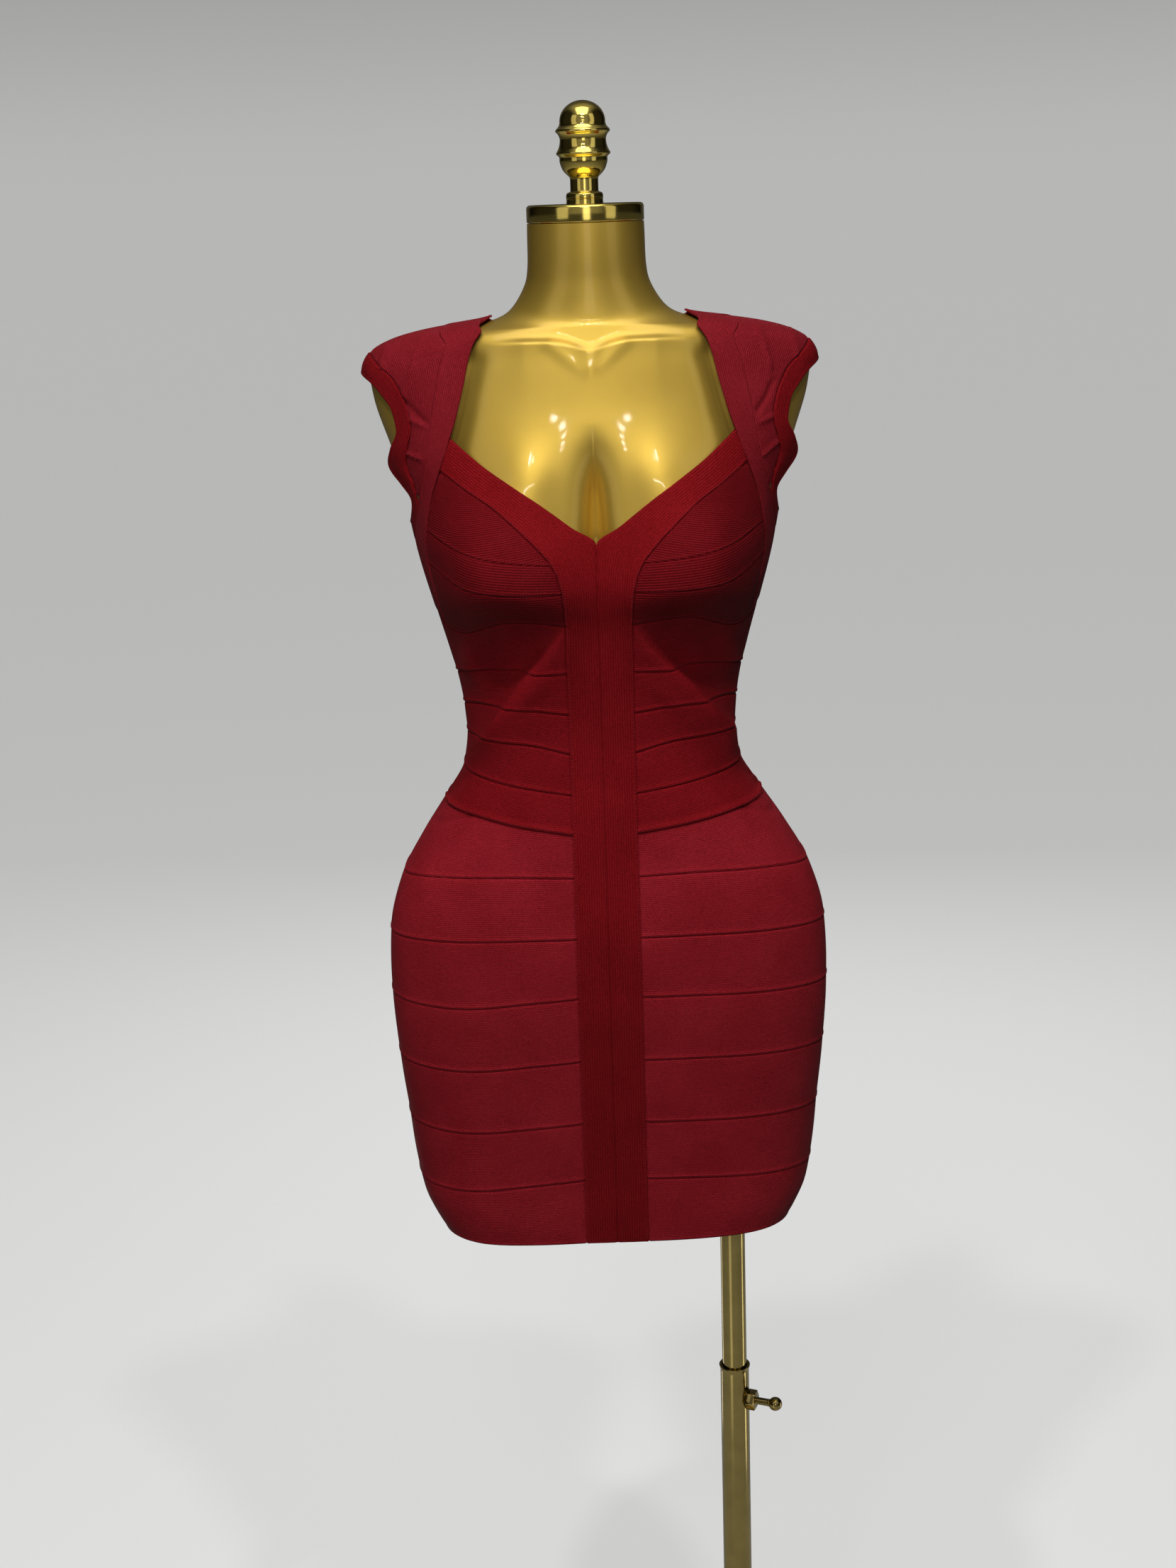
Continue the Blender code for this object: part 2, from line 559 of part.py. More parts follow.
def build_upper_back():
    """Two bands between the armholes, under the straps and the yoke seams."""
    seam = closed_armhole(0)
    high_side = edge(seam, ARMHOLE_YOKE, ARMHOLE_BACK_SEAM, 9)[::-1]
    underarm = edge(seam, ARMHOLE_BACK_SEAM, ARMHOLE_CLOSE, 6)[::-1]
    corner = (math.pi / 2, level_at_height(1.2070))
    side_seam = corner + np.linspace(0, 1, 4)[:, None] * (underarm[0] - corner)
    low_side = np.concatenate((side_seam, underarm[1:]))
    foot = straight(low_side[0], (math.pi, low_side[0, 1]))
    middle = straight(low_side[-1], (math.pi, level_at_height(UPPER_BACK_HEIGHT)))
    yoke = straight(high_side[-1], edge(STRAP_OUTER, STRAP_YOKE, STRAP_YOKE, 1)[0])
    under_strap = edge(STRAP_OUTER, STRAP_YOKE, 14.0, 7)
    crest = np.concatenate((evenly(yoke, 5), under_strap[1:]))
    columns = 2 * len(crest) - 1
    rows = ((evenly(across_back(middle), columns), across_back(crest), high_side),
            (evenly(across_back(foot), columns), evenly(across_back(middle), columns), low_side))
    for number, (bottom, top, left) in enumerate(rows):
        right = left * (-1, 1) + (math.tau, 0)
        add_panel(f"back_upper_band_{number + 1}", patch(bottom, top, left, right))


def closed_armhole(column):
    """The seam (column 0) or the free edge (column 1) of the armhole band, back to its first station."""
    return tuple(row[column] for row in ARMHOLE) + (ARMHOLE[0][column],)


def strip_between(inner, outer, rows):
    """A grid between two edges with matching stations, the inner edge first."""
    share = np.linspace(0, 1, rows)[None, :, None]
    return inner[:, None] + share * (outer - inner)[:, None]


def build_neck_bands():
    """Each band runs from the strap along the V of the neck and on down the centre to the hem."""
    last = len(NECK_BAND_INNER) - 1
    count = round(last * NECK_BAND_FACETS) + 1
    inner, outer = (edge(stations, 0, last, count) for stations in (NECK_BAND_INNER, NECK_BAND_OUTER))
    upper = strip_between(inner, outer, 3)
    heights = np.array([row[1] for row in SEAMS if row[1] <= NECK_BAND_INNER[-1][2]])
    levels = np.stack(((heights[:-1] + heights[1:]) / 2, heights[1:]), axis=-1).ravel()
    share = np.linspace(0, 1, 3)[None, :]
    lower = np.stack((share * strip_turn(levels)[:, None], np.repeat(levels[:, None], 3, axis=1)), axis=-1)
    add_pair("neck_and_centre_band", np.concatenate((upper, lower)), look=STRIP_LOOK, rise=TRIM_RISE)


def build_straps():
    """From the underbust seam up the side of the cup, over the shoulder and down to the centre back."""
    last = len(STRAP_INNER) - 1
    count = round(last * STRAP_FACETS) + 1
    stations = np.linspace(0, last, count)
    outer = run_through(STRAP_OUTER, stations / last)
    under_arm = (stations >= 1) & (stations <= 3)
    outer[under_arm] = run_through(closed_armhole(0), (stations[under_arm] - 1) / ARMHOLE_CLOSE)
    places = strip_between(run_through(STRAP_INNER, stations / last), outer, 3)
    places[0] = strap_foot_points()
    add_pair("strap", places, rise=TRIM_RISE)


def build_shoulder_panels():
    """From the point where strap and armhole band meet, over the shoulder, to the yoke seam."""
    strap_start = STRAP_YOKE - SHOULDER_FACETS / STRAP_FACETS
    armhole_start = ARMHOLE_YOKE - SHOULDER_FACETS / ARMHOLE_FACETS
    strap_side = edge(STRAP_OUTER, strap_start, STRAP_YOKE, SHOULDER_FACETS + 1)
    armhole_side = edge(closed_armhole(0), armhole_start, ARMHOLE_YOKE, SHOULDER_FACETS + 1)
    add_pair("shoulder_panel", strip_between(strap_side, armhole_side, 5))


def build_armhole_bands():
    count = round(ARMHOLE_CLOSE * ARMHOLE_FACETS) + 1
    seam, free = (edge(closed_armhole(column), 0, ARMHOLE_CLOSE, count) for column in (0, 1))
    lifts = np.array(closed_armhole(2))
    lift = smooth_through(np.linspace(0, 1, len(lifts)), lifts, np.linspace(0, 1, count))
    add_pair("armhole_band", strip_between(seam, free, 3), look=STRIP_LOOK, rise=TRIM_RISE,
             lift=lift[:, None] * np.array((0.0, 0.55, 1.0)), closed=True)


# ---------------------------------------------------------------- the form and the stand
def build_form():
    """The limbless torso: sections from below the hem to the cut of the neck, closed at both ends."""
    levels = np.concatenate((np.linspace(FORM_BOTTOM, 1.330, 21), np.linspace(1.3450, 1.5050, 11),
                             (1.5200, 1.5330, 1.5480, 1.5650)))
    columns = 31
    turns = np.linspace(-math.pi, math.pi, 400)
    form = bmesh.new()
    bmesh.ops.create_grid(form, x_segments=columns - 1, y_segments=len(levels) - 1, size=0.5)
    rings = []
    for level in levels:
        even = evenly(np.stack((turns, np.full(400, level)), axis=-1), columns)
        rings.append(form_point(even[:, 0], even[:, 1]))
    rings[0][:, 2] = FORM_BOTTOM
    for vert in form.verts:
        column = round((vert.co.x + 0.5) * (columns - 1)) % (columns - 1)
        row = round((vert.co.y + 0.5) * (len(levels) - 1))
        vert.co = Vector(rings[row][column])
    bmesh.ops.remove_doubles(form, verts=form.verts[:], dist=1e-6)
    bmesh.ops.holes_fill(form, edges=[line for line in form.edges if line.is_boundary], sides=0)
    bmesh.ops.recalc_face_normals(form, faces=form.faces[:])
    mesh = bpy.data.meshes.new("dress_form")
    form.to_mesh(mesh)
    form.free()
    torso = add_object("dress_form", mesh, GOLD_LOOK, DRESS)
    hole = ((SOCKET_RADIUS, POLE_TOP + END_GAP), (SOCKET_RADIUS, FORM_BOTTOM - 0.02))
    socket = add_turned("socket_cutter", hole, 24, GOLD_LOOK, CUTTERS)
    socket.location = (POLE_X, POLE_Y, 0.0)
    cut(torso, socket)


def add_turned(name, outline, steps, look, collection=DRESS, bore=None):
    """A solid turned about the Z axis. The outline is (radius, height), top to bottom."""
    points = list(outline)
    if bore is None:
        points = [(0.0, points[0][1])] + points + [(0.0, points[-1][1])]
    else:
        points = points + [(bore, points[-1][1]), (bore, points[0][1]), points[0]]
    profile = bmesh.new()
    verts = [profile.verts.new((radius, 0.0, height)) for radius, height in points]
    for first, second in zip(verts, verts[1:]):
        profile.edges.new((first, second))
    bmesh.ops.remove_doubles(profile, verts=profile.verts[:], dist=1e-6)
    mesh = bpy.data.meshes.new(name)
    profile.to_mesh(mesh)
    profile.free()
    obj = bpy.data.objects.new(name, mesh)
    collection.objects.link(obj)
    turning = obj.modifiers.new("Turn", "SCREW")
    turning.steps = turning.render_steps = steps
    turning.angle = math.tau
    turning.use_merge_vertices = True
    turning.merge_threshold = 1e-5
    color, roughness, metallic = look
    mesh.materials.append(make_material(name, color, roughness, metallic))
    if collection is CUTTERS:
        obj.hide_render = True
        obj.display_type = "WIRE"
    return obj


def cut(target, cutter, operation="DIFFERENCE"):
    boolean = target.modifiers.new(cutter.name, "BOOLEAN")
    boolean.operation = operation
    boolean.solver = "EXACT"
    boolean.object = cutter
    return boolean


def build_cap():
    """Polished cap over the neck with its turned finial, one casting."""
    foot = CAP_FOOT
    crown = foot + CAP_HEIGHT
    outline = [(0.0170 * math.sin(a), crown - 0.0150 * (1 - math.cos(a)))
               for a in np.radians((20, 45, 70, 90))]
    outline += [(0.0174, crown - 0.0180), (0.0201, crown - 0.0206), (0.0201, crown - 0.0222),
                (0.0176, crown - 0.0250), (0.0173, crown - 0.0285), (0.0180, crown - 0.0330),
                (0.0201, crown - 0.0367), (0.0201, crown - 0.0384), (0.0179, crown - 0.0412),
                (0.0162, crown - 0.0485), (0.0120, crown - 0.0537), (0.0105, crown - 0.0561),
                (0.0105, crown - 0.0651), (0.0138, crown - 0.0667), (0.0138, crown - 0.0740),
                (0.0415, foot + 0.0130), (0.0440, foot + 0.0110), (0.0440, foot)]
    add_turned("neck_cap", outline, 20, BRASS_LOOK)


def build_stand():
    """Round base, fixed outer tube with its clamp, and the pole that slides in it."""
    base = [(BASE_RADIUS - 0.003, BASE_THICKNESS), (BASE_RADIUS, BASE_THICKNESS - 0.003), (BASE_RADIUS, 0.0)]
    add_turned("base_plate", base, 48, STEEL_LOOK)
    foot = BASE_THICKNESS + END_GAP
    flare = MAST_RADIUS + 0.0008
    tube = [(flare, MAST_TOP), (flare, MAST_TOP - 0.002), (MAST_RADIUS, MAST_TOP - 0.004),
            (MAST_RADIUS, foot + 0.022), (0.0180, foot + 0.020), (0.0300, foot + 0.004), (0.0300, foot)]
    mast = add_turned("mast", tube, 32, STEEL_LOOK, bore=MAST_BORE)
    mast.location = (POLE_X, POLE_Y, 0.0)
    pole = add_turned("pole", [(POLE_RADIUS, POLE_TOP), (POLE_RADIUS, POLE_BOTTOM)], 32, STEEL_LOOK)
    pole.location = (POLE_X, POLE_Y, 0.0)
    build_clamp(mast)


def along_clamp(distance):
    """A point on the clamp screw's axis, measured from the pole's axis."""
    return Vector((POLE_X + distance * math.cos(NUT_TURN),
                   POLE_Y + distance * math.sin(NUT_TURN), NUT_HEIGHT))


def add_rod(name, radius, start, end, sides):
    """A prism on the clamp's axis, to join to the mast or to cut from it."""
    form = bmesh.new()
    bmesh.ops.create_cone(form, cap_ends=True, segments=sides, radius1=radius, radius2=radius,
                          depth=end - start)
    mesh = bpy.data.meshes.new(name)
    form.to_mesh(mesh)
    form.free()
    obj = add_object(name, mesh, STEEL_LOOK, CUTTERS)
    obj.rotation_euler = (0.0, math.pi / 2, NUT_TURN)
    obj.location = along_clamp((start + end) / 2)
    obj.hide_render = True
    obj.display_type = "WIRE"
    return obj


def build_clamp(mast):
    """A nut on the mast's side and the ball-ended screw that presses on the pole."""
    nut_face = MAST_RADIUS + NUT_DEPTH
    nut = add_rod("nut_solid", NUT_ACROSS / math.sqrt(3), MAST_RADIUS - 0.0010, nut_face, 6)
    hole = add_rod("screw_hole", SCREW_RADIUS + END_GAP, 0.004, nut_face + 0.01, 20)
    cut(mast, nut, "UNION")
    cut(mast, hole)
    tip = POLE_RADIUS + END_GAP
    ball_center = nut_face + SCREW_SHOWN + BALL_RADIUS
    joint = math.asin(SCREW_RADIUS / BALL_RADIUS)
    outline = [(BALL_RADIUS * math.sin(a), ball_center + BALL_RADIUS * math.cos(a))
               for a in np.linspace(0.35, math.pi - joint, 7)]
    outline += [(SCREW_RADIUS, tip + 0.0006), (SCREW_RADIUS - 0.0006, tip)]
    screw = add_turned("clamp_screw", outline, 20, STEEL_LOOK)
    screw.rotation_euler = (0.0, math.pi / 2, NUT_TURN)
    screw.location = along_clamp(0.0)


fine_section = section(np.linspace(SECTIONS[0, 0], SECTIONS[-1, 0], 1771))
LEVEL_SCALE = np.stack([fine_section[name] for name in ("level", "height", "half_width")], axis=-1)

build_front_bands()
build_cups()
build_back_bands()
build_upper_back()
build_neck_bands()
build_straps()
build_shoulder_panels()
build_armhole_bands()
build_form()
build_cap()
build_stand()
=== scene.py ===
# Bandage dress on its limbless gold form with a pole stand: cloth, stitches, form, metal, light and camera.
import math

import bmesh
import bpy
import numpy as np
from mathutils import Matrix, Vector


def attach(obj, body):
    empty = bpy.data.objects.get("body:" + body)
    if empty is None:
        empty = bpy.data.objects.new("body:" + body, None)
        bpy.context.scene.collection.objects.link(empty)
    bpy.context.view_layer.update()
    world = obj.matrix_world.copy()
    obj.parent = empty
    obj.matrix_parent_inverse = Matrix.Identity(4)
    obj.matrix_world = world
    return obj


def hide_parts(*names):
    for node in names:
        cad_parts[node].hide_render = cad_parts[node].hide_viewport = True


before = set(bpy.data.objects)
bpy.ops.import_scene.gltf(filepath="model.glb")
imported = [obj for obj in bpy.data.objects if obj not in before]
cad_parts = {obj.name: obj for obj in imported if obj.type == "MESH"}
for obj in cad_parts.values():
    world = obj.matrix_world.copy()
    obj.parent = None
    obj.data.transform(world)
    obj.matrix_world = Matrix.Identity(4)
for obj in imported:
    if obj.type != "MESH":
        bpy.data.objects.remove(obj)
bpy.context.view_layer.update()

print("frame loaded")

# ---- camera, first
view = {"place": (-0.012, -1.680, 1.5135), "pitch": 15.3, "roll": 1.9, "lens": 49.915, "sensor": 36.0}


def makeCamera():
    data = bpy.data.cameras.new("camera")
    data.lens, data.sensor_width, data.sensor_fit = view["lens"], view["sensor"], "AUTO"
    cameraObject = bpy.data.objects.new("camera", data)
    bpy.context.scene.collection.objects.link(cameraObject)
    pitch, roll = math.radians(view["pitch"]), math.radians(view["roll"])
    right = Vector((1, 0, 0))
    ahead = Vector((0, math.cos(pitch), -math.sin(pitch)))
    up = right.cross(ahead)
    sideways = math.cos(roll) * right - math.sin(roll) * up
    upward = math.sin(roll) * right + math.cos(roll) * up
    turned = Matrix((sideways, upward, -ahead)).transposed().to_4x4()
    cameraObject.matrix_world = Matrix.Translation(view["place"]) @ turned
    bpy.context.scene.camera = cameraObject


makeCamera()

# ---- the body's surface, by sections from below the hem to the neck
# level, height, halfWidth, front, back, widest, square
sectionRows = np.array((
    (0.690, 0.6900, 0.1428, 0.0860, 0.0800, -0.004, 3.40),
    (0.706, 0.7060, 0.1512, 0.0868, 0.0850, -0.006, 3.30),
    (0.722, 0.7220, 0.1578, 0.0874, 0.0900, -0.009, 3.15),
    (0.742, 0.7420, 0.1618, 0.0880, 0.0955, -0.012, 3.00),
    (0.800, 0.8000, 0.1675, 0.0930, 0.1150, -0.020, 2.70),
    (0.860, 0.8600, 0.1724, 0.0980, 0.1300, -0.028, 2.60),
    (0.905, 0.9050, 0.1744, 0.1010, 0.1350, -0.030, 2.50),
    (0.950, 0.9500, 0.1728, 0.1010, 0.1300, -0.030, 2.50),
    (0.990, 0.9900, 0.1627, 0.0980, 0.1150, -0.026, 2.45),
    (1.020, 1.0200, 0.1458, 0.0940, 0.0990, -0.020, 2.40),
    (1.050, 1.0500, 0.1262, 0.0900, 0.0830, -0.014, 2.35),
    (1.078, 1.0780, 0.1096, 0.0860, 0.0720, -0.010, 2.30),
    (1.105, 1.1050, 0.1056, 0.0840, 0.0660, -0.008, 2.30),
    (1.135, 1.1350, 0.1080, 0.0850, 0.0670, -0.006, 2.30),
    (1.170, 1.1700, 0.1158, 0.0870, 0.0740, -0.005, 2.35),
    (1.210, 1.2100, 0.1268, 0.0880, 0.0840, -0.003, 2.40),
    (1.250, 1.2500, 0.1374, 0.0870, 0.0920, 0.000, 2.40),
    (1.290, 1.2900, 0.1448, 0.0830, 0.0950, 0.002, 2.35),
    (1.330, 1.3300, 0.1600, 0.0760, 0.0910, 0.004, 2.25),
    (1.365, 1.3650, 0.1705, 0.0660, 0.0830, 0.006, 2.15),
    (1.385, 1.3850, 0.1730, 0.0600, 0.0760, 0.007, 2.05),
    (1.405, 1.3990, 0.1668, 0.0550, 0.0700, 0.007, 2.00),
    (1.425, 1.4075, 0.1520, 0.0520, 0.0640, 0.006, 2.00),
    (1.445, 1.4130, 0.1330, 0.0500, 0.0590, 0.004, 2.00),
    (1.465, 1.4175, 0.1080, 0.0484, 0.0545, 0.003, 2.00),
    (1.482, 1.4215, 0.0810, 0.0468, 0.0500, 0.002, 2.00),
    (1.495, 1.4270, 0.0650, 0.0458, 0.0480, 0.001, 2.00),
    (1.508, 1.4370, 0.0550, 0.0444, 0.0460, 0.001, 2.00),
    (1.525, 1.4520, 0.0471, 0.0433, 0.0440, 0.000, 2.00),
    (1.545, 1.4680, 0.0446, 0.0433, 0.0438, 0.000, 2.00),
    (1.565, 1.4897, 0.0438, 0.0436, 0.0438, 0.000, 2.00),
))
sectionColumns = ("level", "height", "halfWidth", "front", "back", "widest", "square")
bust = {"x": 0.082, "height": 1.232, "reach": 0.040, "outward": 0.040, "above": 0.062, "below": 0.036}
bridged = 0.075  # the stretched cloth carries the bust towards the middle
# taut folds from under the bust to the hip: side, xFrom, zFrom, xTo, zTo
tautFolds = ((+1, 0.0240, 1.2000, 0.1080, 1.0960), (-1, 0.0240, 1.2000, 0.0900, 1.1080))
tautFold = {"rise": 0.0052, "inside": 0.022, "crest": 0.0042, "sink": 0.0060, "slope": 0.011, "outside": 0.060,
            "starts": (-0.10, 0.22), "ends": (0.88, 1.22), "front": (0.012, 0.045)}
# short soft folds of the midriff: side, xFrom, zFrom, xTo, zTo, rise, reach
folds = (
    (+1, 0.092, 1.200, 0.112, 1.136, +0.0030, 0.0070),
    (-1, 0.066, 1.200, 0.076, 1.150, +0.0026, 0.0060),
    (-1, 0.036, 1.168, 0.066, 1.128, +0.0016, 0.0050),
    (+1, 0.034, 1.160, 0.064, 1.124, +0.0016, 0.0050),
    (-1, 0.096, 1.196, 0.106, 1.140, +0.0028, 0.0070),
)


def smoothThrough(knots, values, query):
    step = np.diff(knots)
    slope = np.diff(values) / step
    tangent = np.zeros(len(knots))
    tangent[0], tangent[-1] = slope[0], slope[-1]
    rising = slope[:-1] * slope[1:] > 0
    before, after = 2 * step[1:] + step[:-1], step[1:] + 2 * step[:-1]
    safe = np.where(rising[:, None], np.stack((slope[:-1], slope[1:]), axis=1), 1.0)
    tangent[1:-1] = np.where(rising, (before + after) / (before / safe[:, 0] + after / safe[:, 1]), 0.0)
    span = np.clip(np.searchsorted(knots, query, side="right") - 1, 0, len(step) - 1)
    t = np.clip((query - knots[span]) / step[span], 0.0, 1.0)
    rise = 3 * t**2 - 2 * t**3
    leaving = (t**3 - 2 * t**2 + t) * step[span] * tangent[span]
    arriving = (t**3 - t**2) * step[span] * tangent[span + 1]
    return (1 - rise) * values[span] + rise * values[span + 1] + leaving + arriving


def section(level):
    return {name: smoothThrough(sectionRows[:, 0], sectionRows[:, column], level)
            for column, name in enumerate(sectionColumns)}


def bell(t):
    return np.exp(-t * t)


def easing(t, low, high):
    share = np.clip((t - low) / (high - low), 0.0, 1.0)
    return share * share * (3 - 2 * share)


def bustReach(x, height, inward):
    across = np.abs(x) - bust["x"]
    along = height - bust["height"]
    width = np.where(across < 0, inward, bust["outward"])
    tall = np.where(along > 0, bust["above"], bust["below"])
    return bust["reach"] * bell(across / width) * bell(along / tall)


def barePoint(turn, level, inward=bridged):
    turn, level = np.broadcast_arrays(np.asarray(turn, float), np.asarray(level, float))
    at = section(level)
    across, along = np.sin(turn), np.cos(turn)
    depth = np.where(along >= 0, at["front"] + at["widest"], at["back"] - at["widest"])
    radius = ((np.abs(across) / at["halfWidth"]) ** at["square"]
              + (np.abs(along) / depth) ** at["square"]) ** (-1.0 / at["square"])
    x = radius * across
    y = at["widest"] - radius * along
    y = y - bustReach(x, at["height"], inward) * np.clip(3 * along, 0.0, 1.0)
    return np.stack((x, y, at["height"]), axis=-1)


def outwardNormal(turn, level, inward=bridged):
    small = 1e-4
    roundAbout = barePoint(turn + small, level, inward) - barePoint(turn - small, level, inward)
    upward = barePoint(turn, level + small, inward) - barePoint(turn, level - small, inward)
    normal = np.cross(roundAbout, upward)
    return normal / np.linalg.norm(normal, axis=-1, keepdims=True)


def lineDistance(flat, start, end):
    start, end = np.array(start), np.array(end)
    run = end - start
    along = (flat - start) @ run / (run @ run)
    return np.linalg.norm(flat - start - np.clip(along, 0, 1)[..., None] * run, axis=-1), along


def lineRelief(point, lines):
    # lines: points (x, z), rise, reach
    total = np.zeros(point.shape[:-1])
    for line, rise, reach in lines:
        near = np.min([lineDistance(point[..., (0, 2)], a, b)[0] for a, b in zip(line, line[1:])], axis=0)
        total += rise * bell(near / reach)
    return total


def foldRise(point):
    total = np.zeros(point.shape[:-1])
    for side, xFrom, zFrom, xTo, zTo, rise, reach in folds:
        away, along = lineDistance(point[..., (0, 2)], (side * xFrom, zFrom), (side * xTo, zTo))
        total += rise * bell(away / reach) * np.sin(math.pi * np.clip(along, 0.04, 0.96))
    for side, xFrom, zFrom, xTo, zTo in tautFolds:
        start, run = np.array((side * xFrom, zFrom)), np.array((side * (xTo - xFrom), zTo - zFrom))
        gap = point[..., (0, 2)] - start
        along = gap @ run / (run @ run)
        away = side * (run[0] * gap[..., 1] - run[1] * gap[..., 0]) / np.linalg.norm(run)
        inside = tautFold["rise"] * bell(away / tautFold["inside"])
        outside = tautFold["rise"] * bell(away / tautFold["crest"])
        outside -= tautFold["sink"] * (1 - bell(away / tautFold["slope"])) * bell(away / tautFold["outside"])
        starting, ending = easing(along, *tautFold["starts"]), easing(along, *tautFold["ends"])
        total += np.where(away < 0, inside, outside) * starting * (1 - ending)
    return total * easing(-point[..., 1], *tautFold["front"])  # none at the side seams and behind


fineSection = section(np.linspace(sectionRows[0, 0], sectionRows[-1, 0], 1771))
levelScale = np.stack([fineSection[name] for name in ("level", "height", "halfWidth")], axis=-1)

# ---- where the dress's pieces lie: seams, edges and stations
# name, height at the centre strip, at a third, at two thirds, at the side seam, sag on the wearer's right
seamRows = (
    ("cupUpper", 1.2480, 1.2525, 1.2585, 1.2720, 0.0000),
    ("cupLower", 1.2280, 1.2295, 1.2320, 1.2470, 0.0000),
    ("underbust", 1.2023, 1.2030, 1.1920, 1.2070, 0.0000),
    ("midriff1", 1.1640, 1.1642, 1.1600, 1.1530, 0.0000),
    ("midriff2", 1.1310, 1.1350, 1.1330, 1.1280, 0.0000),
    ("midriff3", 1.1000, 1.1070, 1.1080, 1.1060, 0.0000),
    ("midriff4", 1.0687, 1.0730, 1.0775, 1.0800, 0.0000),
    ("waist", 1.0389, 1.0435, 1.0495, 1.0530, -0.0015),
    ("skirt1", 1.0053, 1.0060, 1.0035, 0.9960, 0.0000),
    ("skirt2", 0.9575, 0.9573, 0.9552, 0.9510, 0.0010),
    ("skirt3", 0.9089, 0.9082, 0.9052, 0.9010, 0.0060),
    ("skirt4", 0.8552, 0.8548, 0.8522, 0.8480, 0.0070),
    ("skirt5", 0.8007, 0.7998, 0.7970, 0.7930, 0.0070),
    ("skirt6", 0.7499, 0.7485, 0.7445, 0.7400, 0.0070),
    ("hem", 0.6934, 0.6934, 0.6925, 0.6915, 0.0030),
)
seamNames = [row[0] for row in seamRows]
stripEdge = 0.0247  # half the width of the two centre strips together


def onFaces(*parts):
    return tuple((face, *pair) for face, *pairs in parts for pair in pairs)


# edges by face, each with (x, height) stations; at the top only x counts, at the side only the height
strapInner = onFaces(
    ("underbust", (0.1175, 0.0)),
    ("front", (0.1275, 1.2458), (0.1270, 1.2700), (0.1225, 1.2920), (0.1155, 1.3130), (0.1080, 1.3330),
     (0.1000, 1.3560), (0.0945, 1.3760), (0.0900, 1.3950), (0.0800, 1.4145)),
    ("top", (0.0730, 0.0)),
    ("back", (0.0720, 1.4165), (0.0690, 1.3960), (0.0430, 1.3700), (0.0, 1.3620)),
)
strapOuter = onFaces(
    ("side", (0.0, 1.2070), (0.0, 1.2540)),
    ("front", (0.1377, 1.2650), (0.1335, 1.2880), (0.1285, 1.3060), (0.1243, 1.3230), (0.1200, 1.3480),
     (0.1160, 1.3700), (0.1115, 1.3900), (0.1068, 1.4040)),
    ("top", (0.1010, 0.0)),
    ("back", (0.0950, 1.3985), (0.0820, 1.3720), (0.0480, 1.3480), (0.0, 1.3400)),
)
neckBandInner = onFaces(
    ("front", (0.1056, 1.3385), (0.0826, 1.3197), (0.0600, 1.3045), (0.0395, 1.2910), (0.0180, 1.2750),
     (0.0, 1.2615), (0.0, 1.2450), (0.0, 1.2240), (0.0, 1.2023)),
)
neckBandOuter = onFaces(
    ("front", (0.1138, 1.3150), (0.0950, 1.3020), (0.0770, 1.2910), (0.0610, 1.2780), (0.0440, 1.2620),
     (0.0335, 1.2490), (0.0280, 1.2350), (0.0256, 1.2200), (stripEdge, 1.2023)),
)
# the armhole band all the way round: its seam, its free edge, and how far the free edge stands off
armholeSeam = onFaces(
    ("side", (0.0, 1.2540)),
    ("front", (0.1377, 1.2650), (0.1335, 1.2880), (0.1360, 1.3030), (0.1405, 1.3160), (0.1392, 1.3300),
     (0.1358, 1.3440), (0.1385, 1.3600), (0.1455, 1.3760), (0.1570, 1.3880)),
    ("top", (0.1670, 0.0)),
    ("back", (0.1560, 1.3900), (0.1470, 1.3750), (0.1410, 1.3560), (0.1380, 1.3320), (0.1360, 1.3050),
     (0.1350, 1.2800), (0.1370, 1.2640)),
)
armholeFree = onFaces(
    ("side", (0.0, 1.2700)),
    ("front", (0.1402, 1.2760), (0.1387, 1.2900), (0.1440, 1.3020), (0.1510, 1.3150), (0.1508, 1.3290),
     (0.1468, 1.3430), (0.1500, 1.3575), (0.1580, 1.3690), (0.1680, 1.3790)),
    ("side", (0.0, 1.3830)),
    ("back", (0.1680, 1.3780), (0.1600, 1.3680), (0.1540, 1.3530), (0.1500, 1.3320), (0.1460, 1.3080),
     (0.1420, 1.2880), (0.1405, 1.2760)),
)
armholeLift = (0.0015, 0.0003, 0.0000, 0.0025, 0.0046, 0.0028, 0.0006, 0.0000, 0.0000,
               0.0006, 0.0015, 0.0010, 0.0005, 0.0005, 0.0008, 0.0010, 0.0010, 0.0012)
yoke = {"strap": 12.0, "armhole": 12.8, "shoulderStrap": 26 / 3, "shoulderArmhole": 26 / 2.5,
        "armholeBack": 16.0, "armholeClose": 18.0, "upperBack": 1.2800}
hemMargin = 0.0035  # from the lowest section up to the end of the centre strips
denseCount = 241
# the first three from one station to the next, the others in all
columnCounts = {"neck": 7, "strap": 9, "armhole": 9, "shoulderRun": 92, "centreRun": 130}


def levelAtHeight(height):
    return float(np.interp(height, levelScale[:, 1], levelScale[:, 0]))


def place(station):
    face, x, height = station
    if face == "top":
        pastWidest = levelScale[levelScale[:, 0] > 1.385]
        return math.pi / 2, float(np.interp(-x, -pastWidest[:, 2], pastWidest[:, 0]))
    if face == "underbust":
        seam = seamOnStrip("underbust")
        turn = place(("front", x, 1.1960))[0]
        return turn, float(np.interp(turn, seam[:, 0], seam[:, 1]))
    level = levelAtHeight(height)
    if face == "side":
        return math.pi / 2, level
    at = {name: float(value) for name, value in section(np.array(level)).items()}
    depth = at["front"] + at["widest"] if face == "front" else at["back"] - at["widest"]
    share = min(x / at["halfWidth"], 1.0)
    y = depth * (1 - share ** at["square"]) ** (1 / at["square"])
    return math.atan2(x, y if face == "front" else -y), level


